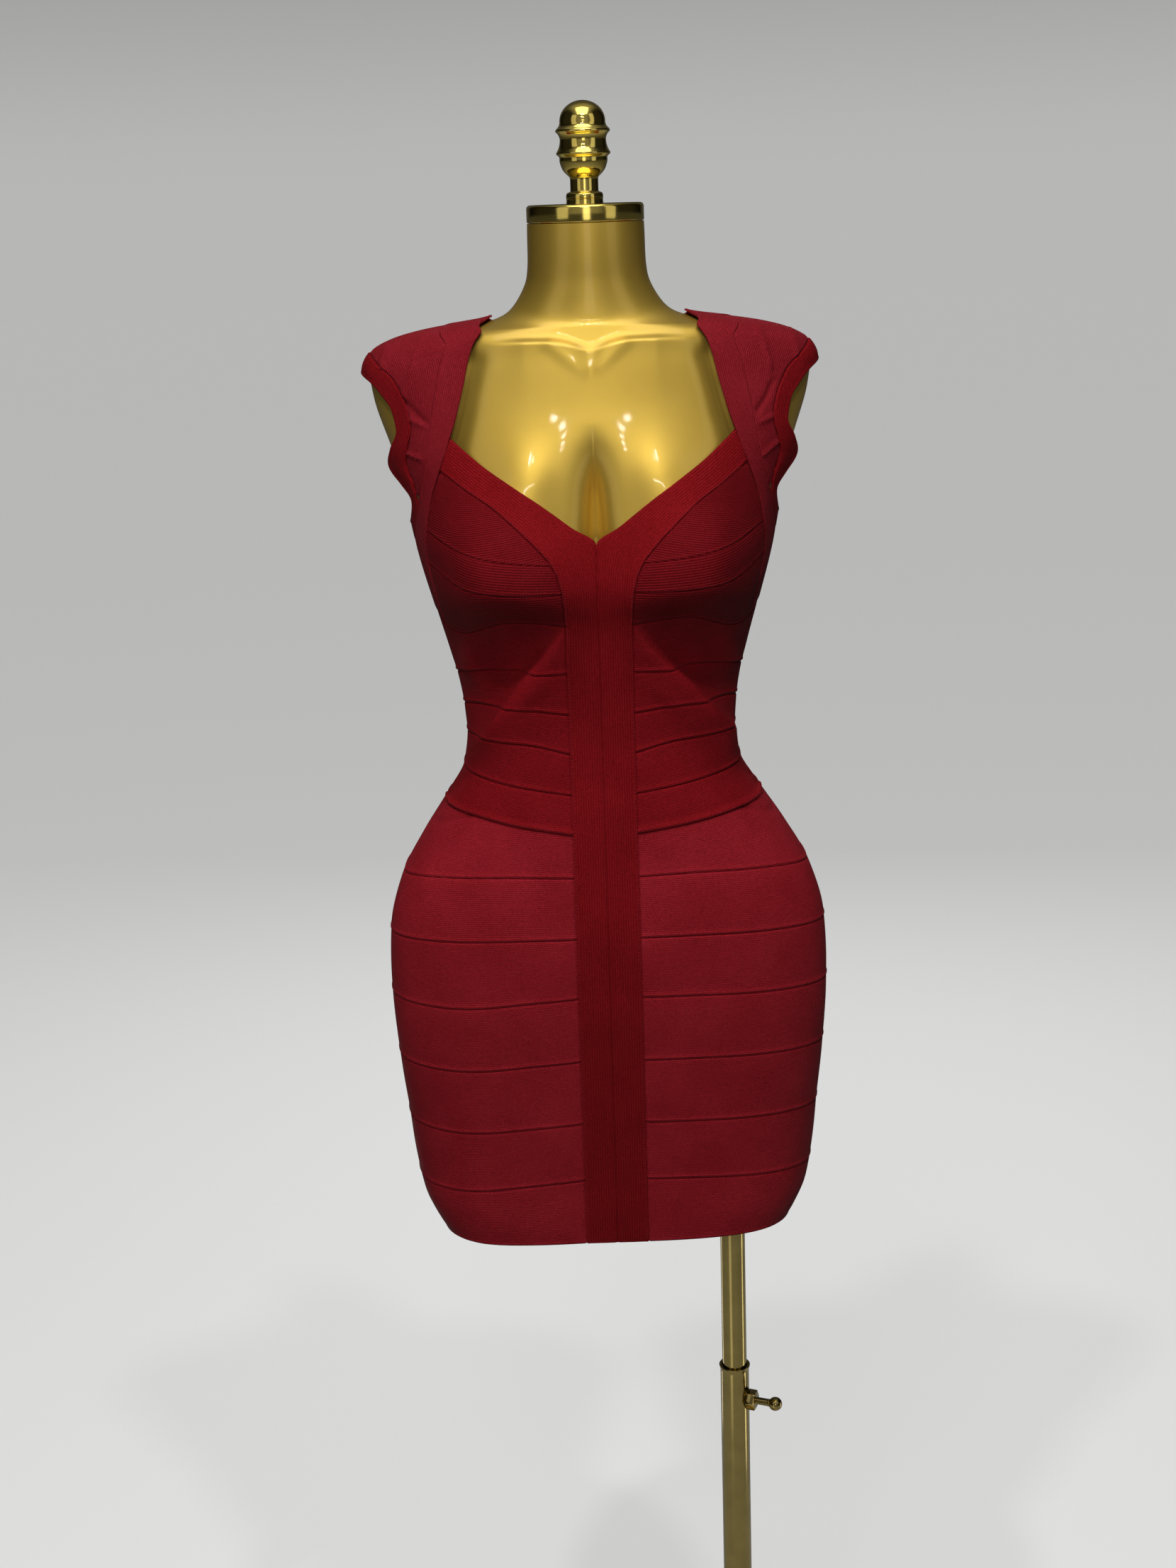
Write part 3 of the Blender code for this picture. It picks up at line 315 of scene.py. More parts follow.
def runThrough(stations, share):
    places = np.array([place(station) for station in stations])
    knots = np.linspace(0, 1, len(stations))
    return np.stack([smoothThrough(knots, places[:, k], share) for k in (0, 1)], axis=-1)


def onBody(run):
    return barePoint(run[:, 0], run[:, 1])


def lengthAlong(points):
    return np.concatenate(((0,), np.cumsum(np.linalg.norm(np.diff(points, axis=0), axis=1))))


def travelledAlong(run):
    return lengthAlong(onBody(run))


def atShares(run, shares):
    travelled = travelledAlong(run)
    return np.stack([np.interp(shares * travelled[-1], travelled, run[:, k]) for k in (0, 1)], axis=-1)


def edge(stations, first, last):
    return runThrough(stations, np.linspace(first, last, denseCount) / (len(stations) - 1))


def straight(start, end):
    return np.asarray(start) + np.linspace(0, 1, denseCount)[:, None] * (np.asarray(end) - start)


def frontSeam(name, start, end, askew=False):
    *heights, sag = seamRows[seamNames.index(name)][1:]
    share = np.linspace(0, 1, denseCount)
    drop = np.array((0.0, 0.5, 1.0, 0.0)) * sag * askew
    height = smoothThrough(np.linspace(0, 1, 4), np.array(heights) - drop, share)
    level = np.interp(height, levelScale[:, 1], levelScale[:, 0])
    level += (1 - share) * (start[1] - level[0]) + share * (end[1] - level[-1])
    return np.stack((start[0] + share * (end[0] - start[0]), level), axis=-1)


def stripTurn(level):
    at = section(level)
    depth = at["front"] + at["widest"]
    y = depth * (1 - (stripEdge / at["halfWidth"]) ** at["square"]) ** (1 / at["square"])
    return np.arctan2(stripEdge, y)


def seamOnStrip(name, askew=False):
    seam = seamRows[seamNames.index(name)]
    start = levelAtHeight(seam[1])
    strip = (float(stripTurn(np.array(start))), start)
    return frontSeam(name, strip, (math.pi / 2, levelAtHeight(seam[4])), askew)


# ---- cloth pieces as fine grids
cloth = {
    "wall": 0.0011,      # thickness of the knit
    "trimRise": 0.0004,  # bands and straps stand proud of the panels
    "along": 0.0050,     # facet length along a band
    "across": 0.0034,    # facet width in the middle of a band
    "crown": 0.0003,     # how much a band swells between its seams
    "stretch": 1.06,     # worn length to cut length
    "edgeSteps": (0.0, 0.0004, 0.0008, 0.0013, 0.0019, 0.0026, 0.0036, 0.0050, 0.0072),
}
# ridge, where it lies, its reach, dip at the edge, its reach, how far the edge runs on
borders = {
    "over": (0.0006, 0.0016, 0.0013, -0.0002, 0.0005, 0.0003),
    "raised": (0.0020, 0.0012, 0.0022, -0.0002, 0.0006, 0.0012),
    "under": (0.0, 0.0, 1.0, -0.0010, 0.0012, 0.0014),
    "flatOver": (0.0004, 0.0016, 0.0013, -0.0001, 0.0005, 0.0003),
    "flatUnder": (0.0, 0.0, 1.0, -0.0006, 0.0010, 0.0012),
    "tucked": (0.0, 0.0, 1.0, -0.0010, 0.0011, 0.0016),
    "butt": (0.0, 0.0, 1.0, -0.0004, 0.0009, 0.0),
    "free": (0.0003, 0.0014, 0.0010, -0.0003, 0.0005, 0.0),
    "trim": (0.0002, 0.0012, 0.0009, -0.0002, 0.0005, 0.0),
    "centre": (0.0, 0.0, 1.0, -0.0006, 0.0011, 0.0),
}


def sharesFor(length, step):
    near = [d for d in cloth["edgeSteps"] if d < length * 0.32]
    start = near[-1]
    middle = np.linspace(start, length - start, max(3, math.ceil((length - 2 * start) / step) + 1))
    distances = np.concatenate((near[:-1], middle, length - np.array(near[:-1][::-1])))
    return distances / length


def coonsPatch(bottom, top, left, right, u, v):
    u, v = u[:, None, None], v[None, :, None]
    ruled = (1 - v) * bottom[:, None] + v * top[:, None]
    crossed = (1 - u) * left[None] + u * right[None]
    corners = ((1 - u) * (1 - v) * bottom[0] + u * (1 - v) * bottom[-1]
               + (1 - u) * v * top[0] + u * v * top[-1])
    return ruled + crossed - corners


def patchOf(bottom, top, left, right):
    u = sharesFor(max(travelledAlong(bottom)[-1], travelledAlong(top)[-1]), cloth["along"])
    v = sharesFor(max(travelledAlong(left)[-1], travelledAlong(right)[-1]), cloth["across"])
    return coonsPatch(atShares(bottom, u), atShares(top, u), atShares(left, v), atShares(right, v), u, v)


def distancesTo(points):
    along = np.linalg.norm(np.diff(points, axis=0), axis=-1).cumsum(axis=0)
    along = np.concatenate((np.zeros((1, points.shape[1])), along))
    across = np.linalg.norm(np.diff(points, axis=1), axis=-1).cumsum(axis=1)
    across = np.concatenate((np.zeros((points.shape[0], 1)), across), axis=1)
    return along, across


def borderRelief(kind, away):
    ridge, ridgeAt, ridgeReach, dip, dipReach, _ = borders[kind]
    return ridge * bell((away - ridgeAt) / ridgeReach) + dip * bell(away / dipReach)


def runOn(points, kinds, closed):
    moved = points.copy()
    lengths = [borders[kind][5] for kind in kinds]

    def beyond(last, before, length):
        gap = last - before
        return length * gap / np.maximum(np.linalg.norm(gap, axis=-1, keepdims=True), 1e-9)

    if not closed:
        moved[0] += beyond(points[0], points[1], lengths[0])
        moved[-1] += beyond(points[-1], points[-2], lengths[1])
    moved[:, 0] += beyond(points[:, 0], points[:, 1], lengths[2])
    moved[:, -1] += beyond(points[:, -1], points[:, -2], lengths[3])
    return moved


clothPieces = {}


def meshFrom(form, name):
    mesh = bpy.data.meshes.new(name)
    form.to_mesh(mesh)
    form.free()
    return mesh


def gridMesh(name, outer, inner, closed):
    columns, rows = outer.shape[:2]
    form = bmesh.new()
    columnOf = form.verts.layers.int.new("column")
    rowOf = form.verts.layers.int.new("row")
    bmesh.ops.create_grid(form, x_segments=columns - 1, y_segments=rows - 1, size=0.5)
    for vert in form.verts:
        vert[columnOf] = round((vert.co.x + 0.5) * (columns - 1))
        vert[rowOf] = round((vert.co.y + 0.5) * (rows - 1))
    extruded = bmesh.ops.extrude_face_region(form, geom=form.faces[:], use_keep_orig=True)["geom"]
    innerVerts = {item for item in extruded if isinstance(item, bmesh.types.BMVert)}
    for vert in form.verts:
        side = inner if vert in innerVerts else outer
        vert.co = Vector(side[vert[columnOf], vert[rowOf]])
    if closed:
        endWalls = [face for face in form.faces if len({vert[columnOf] for vert in face.verts}) == 1]
        bmesh.ops.delete(form, geom=endWalls, context="FACES_ONLY")
    bmesh.ops.recalc_face_normals(form, faces=form.faces[:])
    if form.calc_volume(signed=True) < 0:
        bmesh.ops.reverse_faces(form, faces=form.faces[:])
    return meshFrom(form, name)


def gridUv(mesh, u, v):
    counts = (len(mesh.vertices), len(mesh.vertices), len(mesh.loops))
    column, row, vertex = (np.empty(count, dtype=np.int32) for count in counts)
    mesh.attributes["column"].data.foreach_get("value", column)
    mesh.attributes["row"].data.foreach_get("value", row)
    mesh.loops.foreach_get("vertex_index", vertex)
    layer = mesh.uv_layers.new(name="knit")
    layer.data.foreach_set("uv", np.stack((u[column, row][vertex], v[column, row][vertex]), axis=-1).ravel())
    mesh.attributes.remove(mesh.attributes["column"])
    mesh.attributes.remove(mesh.attributes["row"])


def mergeSeam(mesh):
    form = bmesh.new()
    form.from_mesh(mesh)
    bmesh.ops.remove_doubles(form, verts=form.verts[:], dist=1e-6)
    form.to_mesh(mesh)
    form.free()


def addObject(name, mesh, material, body, slot, *nodes, sharp=40):
    mesh.polygons.foreach_set("use_smooth", [True] * len(mesh.polygons))
    mesh.set_sharp_from_angle(angle=math.radians(sharp))
    piece = bpy.data.objects.new(name, mesh)
    bpy.context.scene.collection.objects.link(piece)
    mesh.materials.append(material)
    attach(piece, body)
    if nodes:
        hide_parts(*nodes)
    return piece


def clothPanel(node, places, kinds, material, rise=0.0, lift=0.0, closed=False, crown=1.0):
    # kinds: the borders at the first column, last column, first row and last row
    turn, level = places[..., 0], places[..., 1]
    bare = barePoint(turn, level)
    along, across = distancesTo(bare)
    out = rise + lift + foldRise(bare) + lineRelief(bare, creases.get(node, ()))
    away = (along, along[-1:] - along, across, across[:, -1:] - across)
    for kind, distance in zip(kinds, away):
        if kind is not None:
            out = out + borderRelief(kind, distance)
    share = across / across[:, -1:]
    out = out + crown * cloth["crown"] * 4 * share * (1 - share)
    normal = outwardNormal(turn, level)
    outer = bare + out[..., None] * normal
    inner = outer - cloth["wall"] * normal
    outer, inner = (runOn(points, [kind or "butt" for kind in kinds], closed) for points in (outer, inner))
    if closed:
        outer[-1], inner[-1] = outer[0], inner[0]
    mesh = gridMesh(node + "_knit", outer, inner, closed)
    middle = across[:, -1:] / 2
    gridUv(mesh, along + 0.0 * across, across - middle)
    if closed:
        mergeSeam(mesh)
    piece = addObject(node + "_knit", mesh, material, "form", "bandage_knit", node)
    length = along[-1].max() / cloth["stretch"]
    width = across[:, -1].max()
    area = sum(face.area for face in mesh.polygons) / 2 / cloth["stretch"]  # one side of the knit, unstretched
    clothPieces[node] = {"piece": piece, "flat": (round(float(width), 3), round(float(length), 3)),
                         "area": area, "stitches": []}


# ---- creases drawn on the cloth, by node: points (x, z), rise, reach
creases = {
    "shoulder_panel_right": (
        (((-0.1248, 1.4112), (-0.1314, 1.3930), (-0.1398, 1.3748), (-0.1411, 1.3665)), 0.0019, 0.0016),
        (((-0.1527, 1.4039), (-0.1562, 1.3926), (-0.1563, 1.3872)), 0.0018, 0.0015),
        (((-0.1411, 1.3656), (-0.1307, 1.3557), (-0.1232, 1.3485)), -0.0017, 0.0022),
        (((-0.1378, 1.3518), (-0.1233, 1.3471)), 0.0015, 0.0016),
        (((-0.1417, 1.3272), (-0.1283, 1.3229)), 0.0015, 0.0016),
    ),
    "shoulder_panel_left": (
        (((0.1261, 1.4114), (0.1311, 1.3937), (0.1344, 1.3808)), 0.0019, 0.0016),
        (((0.1532, 1.4049), (0.1553, 1.3946), (0.1554, 1.3883)), 0.0018, 0.0015),
        (((0.1355, 1.3700), (0.1300, 1.3590), (0.1235, 1.3510)), -0.0017, 0.0022),
        (((0.1235, 1.3420), (0.1370, 1.3460)), 0.0015, 0.0016),
        (((0.1270, 1.3180), (0.1385, 1.3260)), 0.0015, 0.0016),
    ),
    "front_skirt_band_1_right": (
        (((-0.1337, 1.0369), (-0.1037, 1.0494)), -0.0016, 0.0012),
    ),
    "front_skirt_band_1_left": (
        (((0.0976, 1.0533), (0.1347, 1.0363)), -0.0016, 0.0012),
    ),
}

# ---- materials
knit = {"rib": 0.0015, "loop": 0.0012, "lit": (0.225, 0.0130, 0.0195), "mid": (0.140, 0.0055, 0.0090),
        "deep": (0.070, 0.0016, 0.0028), "rough": 0.68, "sheen": 0.012, "bump": 0.55,
        "ribHeight": 0.5, "loopHeight": 0.28, "speckle": 0.9, "clouds": 0.35}


# a darker copy of a knit colour, for painted shade; cool scales green and blue: below 1 for a deeper red in
# the painted shade, above 1 for a painted sheen
def shade(color, share, cool=0.72):
    red, green, blue = color
    return share * red, share * cool * green, share * cool * blue


def nodeTools(tree):
    def fill(node, inputs):
        for key, value in inputs.items():
            if isinstance(value, bpy.types.NodeSocket):
                tree.links.new(value, node.inputs[key])
            else:
                node.inputs[key].default_value = value

    def add(kind, inputs, **settings):
        made = tree.nodes.new("ShaderNode" + kind)
        for key, value in settings.items():
            setattr(made, key, value)
        fill(made, inputs)
        return made

    def math2(operation, *values):
        return add("Math", dict(enumerate(values)), operation=operation).outputs[0]

    return fill, add, math2


def nodeMaterial(name):
    material = bpy.data.materials.new(name)
    material.use_nodes = True
    return material, material.node_tree.nodes["Principled BSDF"], *nodeTools(material.node_tree)


def noise(add, scale, detail):
    place = add("TexCoord", {}).outputs["Object"]
    return add("TexNoise", {"Vector": place, "Scale": scale, "Detail": detail}).outputs["Fac"]


def colorRamp(add, share, first, last, *between):
    # each stop: position, color
    ramp = add("ValToRGB", {"Fac": share})
    elements = ramp.color_ramp.elements
    elements[0].position, elements[1].position = first[0], last[0]
    elements[0].color, elements[1].color = (*first[1], 1), (*last[1], 1)
    for position, color in between:
        elements.new(position).color = (*color, 1)
    return ramp.outputs["Color"]


def knitMaterial(name, lit, mid, deep, rib=knit["rib"], ribShading=0.26):
    material, shader, fill, add, math2 = nodeMaterial(name)
    uv = add("UVMap", {}, uv_map="knit").outputs["UV"]
    parts = add("SeparateXYZ", {"Vector": uv})
    along, across = parts.outputs["X"], parts.outputs["Y"]
    ribWave = math2("SINE", math2("MULTIPLY", across, math.tau / rib))
    rowNumber = math2("FLOOR", math2("DIVIDE", across, rib))
    loopPhase = math2("ADD", math2("DIVIDE", along, knit["loop"]), math2("MULTIPLY", rowNumber, 0.5))
    loopWave = math2("SINE", math2("MULTIPLY", loopPhase, math.tau))
    height = math2("ADD", math2("MULTIPLY", ribWave, knit["ribHeight"]),
                   math2("MULTIPLY", loopWave, knit["loopHeight"]))
    speckle, cloudy = noise(add, 900.0, 2.0), noise(add, 26.0, 3.0)
    # the rib and loop height also sets the colour: painted shade in the rib valleys and painted highlight on
    # the crests; the speckle and clouds are the knit's own tone
    tone = math2("ADD", math2("MULTIPLY", height, ribShading),
                 math2("MULTIPLY", math2("SUBTRACT", speckle, 0.5), knit["speckle"]))
    tone = math2("ADD", tone, math2("MULTIPLY", math2("SUBTRACT", cloudy, 0.5), knit["clouds"]))
    color = colorRamp(add, math2("ADD", tone, 0.5), (0.08, deep), (0.95, lit), (0.5, mid))
    bump = add("Bump", {"Height": height, "Strength": knit["bump"], "Distance": 0.0003})
    fuzz = add("Bump", {"Height": speckle, "Strength": 0.30, "Distance": 0.0003,
                        "Normal": bump.outputs["Normal"]})
    rough = add("MapRange", {"Value": speckle, "To Min": knit["rough"] - 0.06, "To Max": knit["rough"] + 0.12})
    fill(shader, {"Base Color": color, "Normal": fuzz.outputs["Normal"], "Roughness": rough.outputs["Result"],
                  "Sheen Weight": knit["sheen"], "Sheen Roughness": 0.45, "Sheen Tint": (0.9, 0.30, 0.32, 1),
                  "Specular IOR Level": 0.05})
    return material


tones = [knit[tone] for tone in ("lit", "mid", "deep")]
panelKnit = knitMaterial("bandage_knit_panels", *tones)
stripKnit = knitMaterial("bandage_knit_bands", (0.160, 0.0056, 0.0078), (0.098, 0.0023, 0.0035),
                         (0.045, 0.0008, 0.0012), 0.0019, 0.32)
# painted shade on the cups: the same knit at half the brightness and a deeper red, with finer, stronger rib
# shading
cupKnitPaintedShade = knitMaterial("bandage_knit_cups_painted_shade", *(shade(tone, 0.50) for tone in tones), 0.0020, 0.62)
# painted shade on the midriff bands, front and back, and the upper back: the same knit at 0.72 of the
# brightness, a deeper red
midriffKnitPaintedShade = knitMaterial("bandage_knit_midriff_painted_shade", *(shade(tone, 0.72, 0.66) for tone in tones), ribShading=0.32)
# painted shade and painted sheen on the straps and shoulder panels: the same knit at 0.72 of the brightness,
# with more green and blue for the sheen
yokeKnitShadeAndSheen = knitMaterial("bandage_knit_shoulders_painted_shade_and_sheen", *(shade(tone, 0.72, 1.1) for tone in tones), 0.0017, 0.34)


def threadMaterial():
    material, shader, fill, add, _ = nodeMaterial("stitch_thread")
    dark, pale = (0.060, 0.0016, 0.0028), (0.185, 0.0090, 0.0140)
    color = colorRamp(add, noise(add, 1500.0, 1.0), (0.0, dark), (1.0, pale))
    fill(shader, {"Base Color": color, "Roughness": 0.6, "Specular IOR Level": 0.12})
    return material


thread = threadMaterial()


def metalMaterial(name, low, high, rough, coat=0.0, scale=60.0, metallic=1.0):
    material, shader, fill, add, _ = nodeMaterial(name)
    smear = noise(add, scale, 4.0)
    color = colorRamp(add, smear, (0.3, low), (0.7, high))
    worn = add("MapRange", {"Value": smear, "To Min": rough * 0.8, "To Max": rough * 1.25})
    bump = add("Bump", {"Height": noise(add, scale * 12, 2.0), "Strength": 0.04, "Distance": 0.0004})
    fill(shader, {"Base Color": color, "Roughness": worn.outputs["Result"], "Normal": bump.outputs["Normal"],
                  "Metallic": metallic, "Coat Weight": coat, "Coat Roughness": 0.06})
    return material


goldPaint = metalMaterial("gold_form_paint", (0.64, 0.415, 0.062), (0.73, 0.485, 0.082), 0.40, 0.4, 14.0, 0.90)
brass = metalMaterial("polished_brass", (0.88, 0.65, 0.14), (0.94, 0.73, 0.19), 0.12)
poleMetal = metalMaterial("stand_metal_polished", (0.33, 0.250, 0.085), (0.40, 0.305, 0.105), 0.11)
baseMetal = metalMaterial("stand_metal_base", (0.40, 0.285, 0.095), (0.48, 0.350, 0.125), 0.26)
print("materials made")


# ---- cutting the dress
def mirrored(places):
    return places[::-1] * np.array((-1, 1))


def swapped(kinds):
    return (kinds[1], kinds[0], kinds[2], kinds[3])


def clothPair(name, places, kinds, material, **options):
    clothPanel(name + "_left", places, kinds, material, **options)
    options["lift"] = options["lift"][::-1] if isinstance(options.get("lift"), np.ndarray) else 0.0
    clothPanel(name + "_right", mirrored(places), swapped(kinds), material, **options)


def bandName(number):
    belowWaist = number >= seamNames.index("waist")
    first = seamNames.index("waist" if belowWaist else "underbust")
    return f"{'skirt' if belowWaist else 'midriff'}_band_{number - first + 1}"


def bandNumbers():
    return range(seamNames.index("underbust"), len(seamNames) - 1)


def lowerKind(number):
    return {"waist": "raised", "hem": "free"}.get(seamNames[number + 1], "over")


seamRuns = {}  # seams that don't run from the centre strip to the side seam


def makeFrontBands():
    for number in bandNumbers():
        for side, askew in (("left", False), ("right", True)):
            top, bottom = (seamOnStrip(seamNames[row], askew) for row in (number, number + 1))
            share = np.linspace(0, 1, denseCount)[:, None]
            inner = bottom[0] + share * (top[0] - bottom[0])
            inner[:, 0] = stripTurn(inner[:, 1])
            outer = bottom[-1] + share * (top[-1] - bottom[-1])
            places = patchOf(bottom, top, inner, outer)
            kinds = ("tucked", "butt", lowerKind(number), "under")
            if askew:
                places, kinds = mirrored(places), swapped(kinds)
            knitUsed = midriffKnitPaintedShade if "midriff" in bandName(number) else panelKnit
            clothPanel(f"front_{bandName(number)}_{side}", places, kinds, knitUsed)


def makeCups():
    strapFoot, strapMiddle, strapHead = (edge(strapInner, a, b) for a, b in ((0, 1), (1, 2), (2, 4)))
    neckSpans = ((6.5, 8), (5, 6.5), (0.2, 5))
    neckLow, neckMiddle, neckHead = (edge(neckBandOuter, a, b)[::-1] for a, b in neckSpans)
    middle = frontSeam("cupLower", neckLow[-1], strapFoot[-1])
    upper = frontSeam("cupUpper", neckMiddle[-1], strapMiddle[-1])
    top = straight(neckHead[-1], strapHead[-1])
    seam = seamOnStrip("underbust")
    foot = np.array(place(strapInner[0]))[None]
    lowest = np.concatenate((seam[seam[:, 0] < foot[0, 0]], foot))
    runs = [top, upper, middle, lowest]
    seamRuns.update(cupUpper=upper, cupLower=middle, underbust=lowest)
    sides = ((neckHead, strapHead), (neckMiddle, strapMiddle), (neckLow, strapFoot))
    for number, (inner, outer) in enumerate(sides):
        places = patchOf(runs[number + 1], runs[number], inner, outer)
        upperKind = "under" if number == 0 else "flatUnder"
        clothPair(f"front_cup_band_{number + 1}", places, ("tucked", "tucked", "flatOver", upperKind), cupKnitPaintedShade)


def makeBackBands():
    for number in bandNumbers():
        levels = [levelAtHeight(seamRows[row][4]) for row in (number, number + 1)]
        top, bottom = (straight((math.pi / 2, level), (3 * math.pi / 2, level)) for level in levels)
        places = patchOf(bottom, top, straight(bottom[0], top[0]), straight(bottom[-1], top[-1]))
        kind = "over" if lowerKind(number) == "raised" else lowerKind(number)
        knitUsed = midriffKnitPaintedShade if "midriff" in bandName(number) else panelKnit
        clothPanel(f"back_{bandName(number)}", places, ("butt", "butt", kind, "under"), knitUsed)


def closedRound(values):
    return (*values, values[0])


def acrossBack(half):
    other = half[::-1] * (-1, 1) + (math.tau, 0)
    return np.concatenate((half, other[1:]))


def makeUpperBack():
    seam = closedRound(armholeSeam)
    highSide = edge(seam, yoke["armhole"], yoke["armholeBack"])[::-1]
    underarm = edge(seam, yoke["armholeBack"], yoke["armholeClose"])[::-1]
    corner = np.array((math.pi / 2, levelAtHeight(1.2070)))
    lowSide = np.concatenate((straight(corner, underarm[0])[:-1], underarm))
    foot = straight(lowSide[0], (math.pi, lowSide[0, 1]))
    middle = straight(lowSide[-1], (math.pi, levelAtHeight(yoke["upperBack"])))
    yokeSeam = straight(highSide[-1], edge(strapOuter, yoke["strap"], yoke["strap"])[0])
    crest = np.concatenate((yokeSeam[:-1], edge(strapOuter, yoke["strap"], 14.0)))
    rows = ((acrossBack(middle), acrossBack(crest), highSide, "under"),
            (acrossBack(foot), acrossBack(middle), lowSide, "under"))
    for number, (bottom, top, left, upperKind) in enumerate(rows):
        right = left * (-1, 1) + (math.tau, 0)
        places = patchOf(bottom, top, left, right)
        kinds = ("tucked", "tucked", "over", upperKind)
        clothPanel(f"back_upper_band_{number + 1}", places, kinds, midriffKnitPaintedShade)


def stripBetween(inner, outer):
    widths = np.linalg.norm(onBody(inner) - onBody(outer), axis=-1)
    share = sharesFor(float(widths.max()), cloth["across"])[None, :, None]
    return inner[:, None] + share * (outer - inner)[:, None]


def makeNeckBands():
    last = len(neckBandInner) - 1
    stations = np.linspace(0, 1, last * columnCounts["neck"] + 1)
    upper = stripBetween(*(runThrough(edges, stations) for edges in (neckBandInner, neckBandOuter)))
    top = levelAtHeight(neckBandInner[-1][2])
    levels = np.linspace(top, sectionRows[0, 0] + hemMargin, columnCounts["centreRun"])[1:]
    share = np.linspace(0, 1, upper.shape[1])[None, :]
    spread = upper[-1, :, 0] / upper[-1, -1, 0]
    lower = np.stack((spread[None, :] * stripTurn(levels)[:, None],
                      np.repeat(levels[:, None], share.shape[1], axis=1)), axis=-1)
    clothPair("neck_and_centre_band", np.concatenate((upper, lower)), ("tucked", "free", "centre", "trim"),
              stripKnit, rise=cloth["trimRise"], crown=0.4)


def makeStraps():
    last = len(strapInner) - 1
    stations = np.linspace(0, last, last * columnCounts["strap"] + 1)
    outer = runThrough(strapOuter, stations / last)
    underArm = (stations >= 1) & (stations <= 3)
    outer[underArm] = runThrough(closedRound(armholeSeam), (stations[underArm] - 1) / yoke["armholeClose"])
    inner = runThrough(strapInner, stations / last)
    places = stripBetween(inner, outer)
    clothPair("strap", places, ("under", "butt", "trim", "trim"), yokeKnitShadeAndSheen, rise=cloth["trimRise"], crown=0.8)


def makeShoulderPanels():
    strapStart = yoke["strap"] - yoke["shoulderStrap"]
    armholeStart = yoke["armhole"] - yoke["shoulderArmhole"]
    count = np.linspace(0, 1, columnCounts["shoulderRun"])
    onStrap = strapStart + count * (yoke["strap"] - strapStart)
    onArmhole = armholeStart + count * (yoke["armhole"] - armholeStart)
    strapSide = runThrough(strapOuter, onStrap / (len(strapOuter) - 1))
    armholeSide = runThrough(closedRound(armholeSeam), onArmhole / len(armholeSeam))
    clothPair("shoulder_panel", stripBetween(strapSide, armholeSide), ("tucked", "over", "tucked", "tucked"),
              yokeKnitShadeAndSheen, crown=0.5)


def makeArmholeBands():
    shares = np.linspace(0, 1, len(armholeSeam) * columnCounts["armhole"] + 1)
    seam, free = (runThrough(closedRound(stations), shares) for stations in (armholeSeam, armholeFree))
    lifts = np.array(closedRound(armholeLift))
    lift = smoothThrough(np.linspace(0, 1, len(lifts)), lifts, shares)
    places = stripBetween(seam, free)
    ramp = np.linspace(0, 1, places.shape[1])
    clothPair("armhole_band", places, (None, None, "trim", "free"), stripKnit, rise=cloth["trimRise"],
              lift=lift[:, None] * ramp[None, :], closed=True, crown=0.6)


makeFrontBands()
makeCups()
makeBackBands()
makeUpperBack()
makeNeckBands()
makeStraps()
makeShoulderPanels()
makeArmholeBands()
print("cloth pieces made:", len(clothPieces))

# ---- stitches, small beads of thread laid along the edges
stitchShapes = {
    "cover": {"pitch": 0.0026, "length": 0.0021, "width": 0.0006, "height": 0.0005, "slant": 0.55,
              "inset": 0.0012, "out": 0.0007},
    "overcast": {"pitch": 0.0019, "length": 0.0026, "width": 0.0006, "height": 0.0005, "slant": 1.05,
                 "inset": 0.0008, "out": 0.0008},
    "link": {"pitch": 0.0021, "length": 0.0017, "width": 0.0005, "height": 0.0004, "slant": 1.45,
             "inset": 0.0013, "out": 0.0004},
}
waistStitches = {"share": 0.86, "inset": 0.0006, "out": 0.0020}
lookAhead = 0.0005  # how far on along the run a stitch points


def stitchRow(name, run, kind, carrier, out=None):
    # out: how far the row lies off the body
    shape = stitchShapes[kind]
    out = shape["out"] if out is None else out
    points = onBody(run)
    normals = outwardNormal(run[:, 0], run[:, 1])
    points = points + (out + foldRise(points))[:, None] * normals
    travelled = lengthAlong(points)

    def sample(values, reached):
        return Vector([float(np.interp(reached, travelled, values[:, k])) for k in range(3)])

    form = bmesh.new()
    for number in range(int(travelled[-1] / shape["pitch"])):
        reached = (number + 0.5) * shape["pitch"]
        at = sample(points, reached)
        ahead = sample(points, reached + lookAhead) - at
        up = sample(normals, reached).normalized()
        slant = shape["slant"] * (-1 if kind == "cover" and number % 2 else 1)
        lay = (Matrix.Rotation(slant, 3, up) @ ahead).normalized()
        side = up.cross(lay).normalized()
        axes = (lay * shape["length"] / 2, side * shape["width"] / 2, up * shape["height"] / 2)
        bmesh.ops.create_icosphere(form, subdivisions=1, radius=1.0,
                                   matrix=Matrix.Translation(at) @ Matrix(axes).transposed().to_4x4())
    piece = addObject(name, meshFrom(form, name), thread, "form", "bandage_knit", sharp=80)
    clothPieces[carrier]["stitches"].append(piece)


def shiftedRun(run, towards, distance):
    # a run moved over the cloth towards another one
    gap = np.linalg.norm(onBody(run) - onBody(towards), axis=-1)
    return run + (distance / gap)[:, None] * (towards - run)


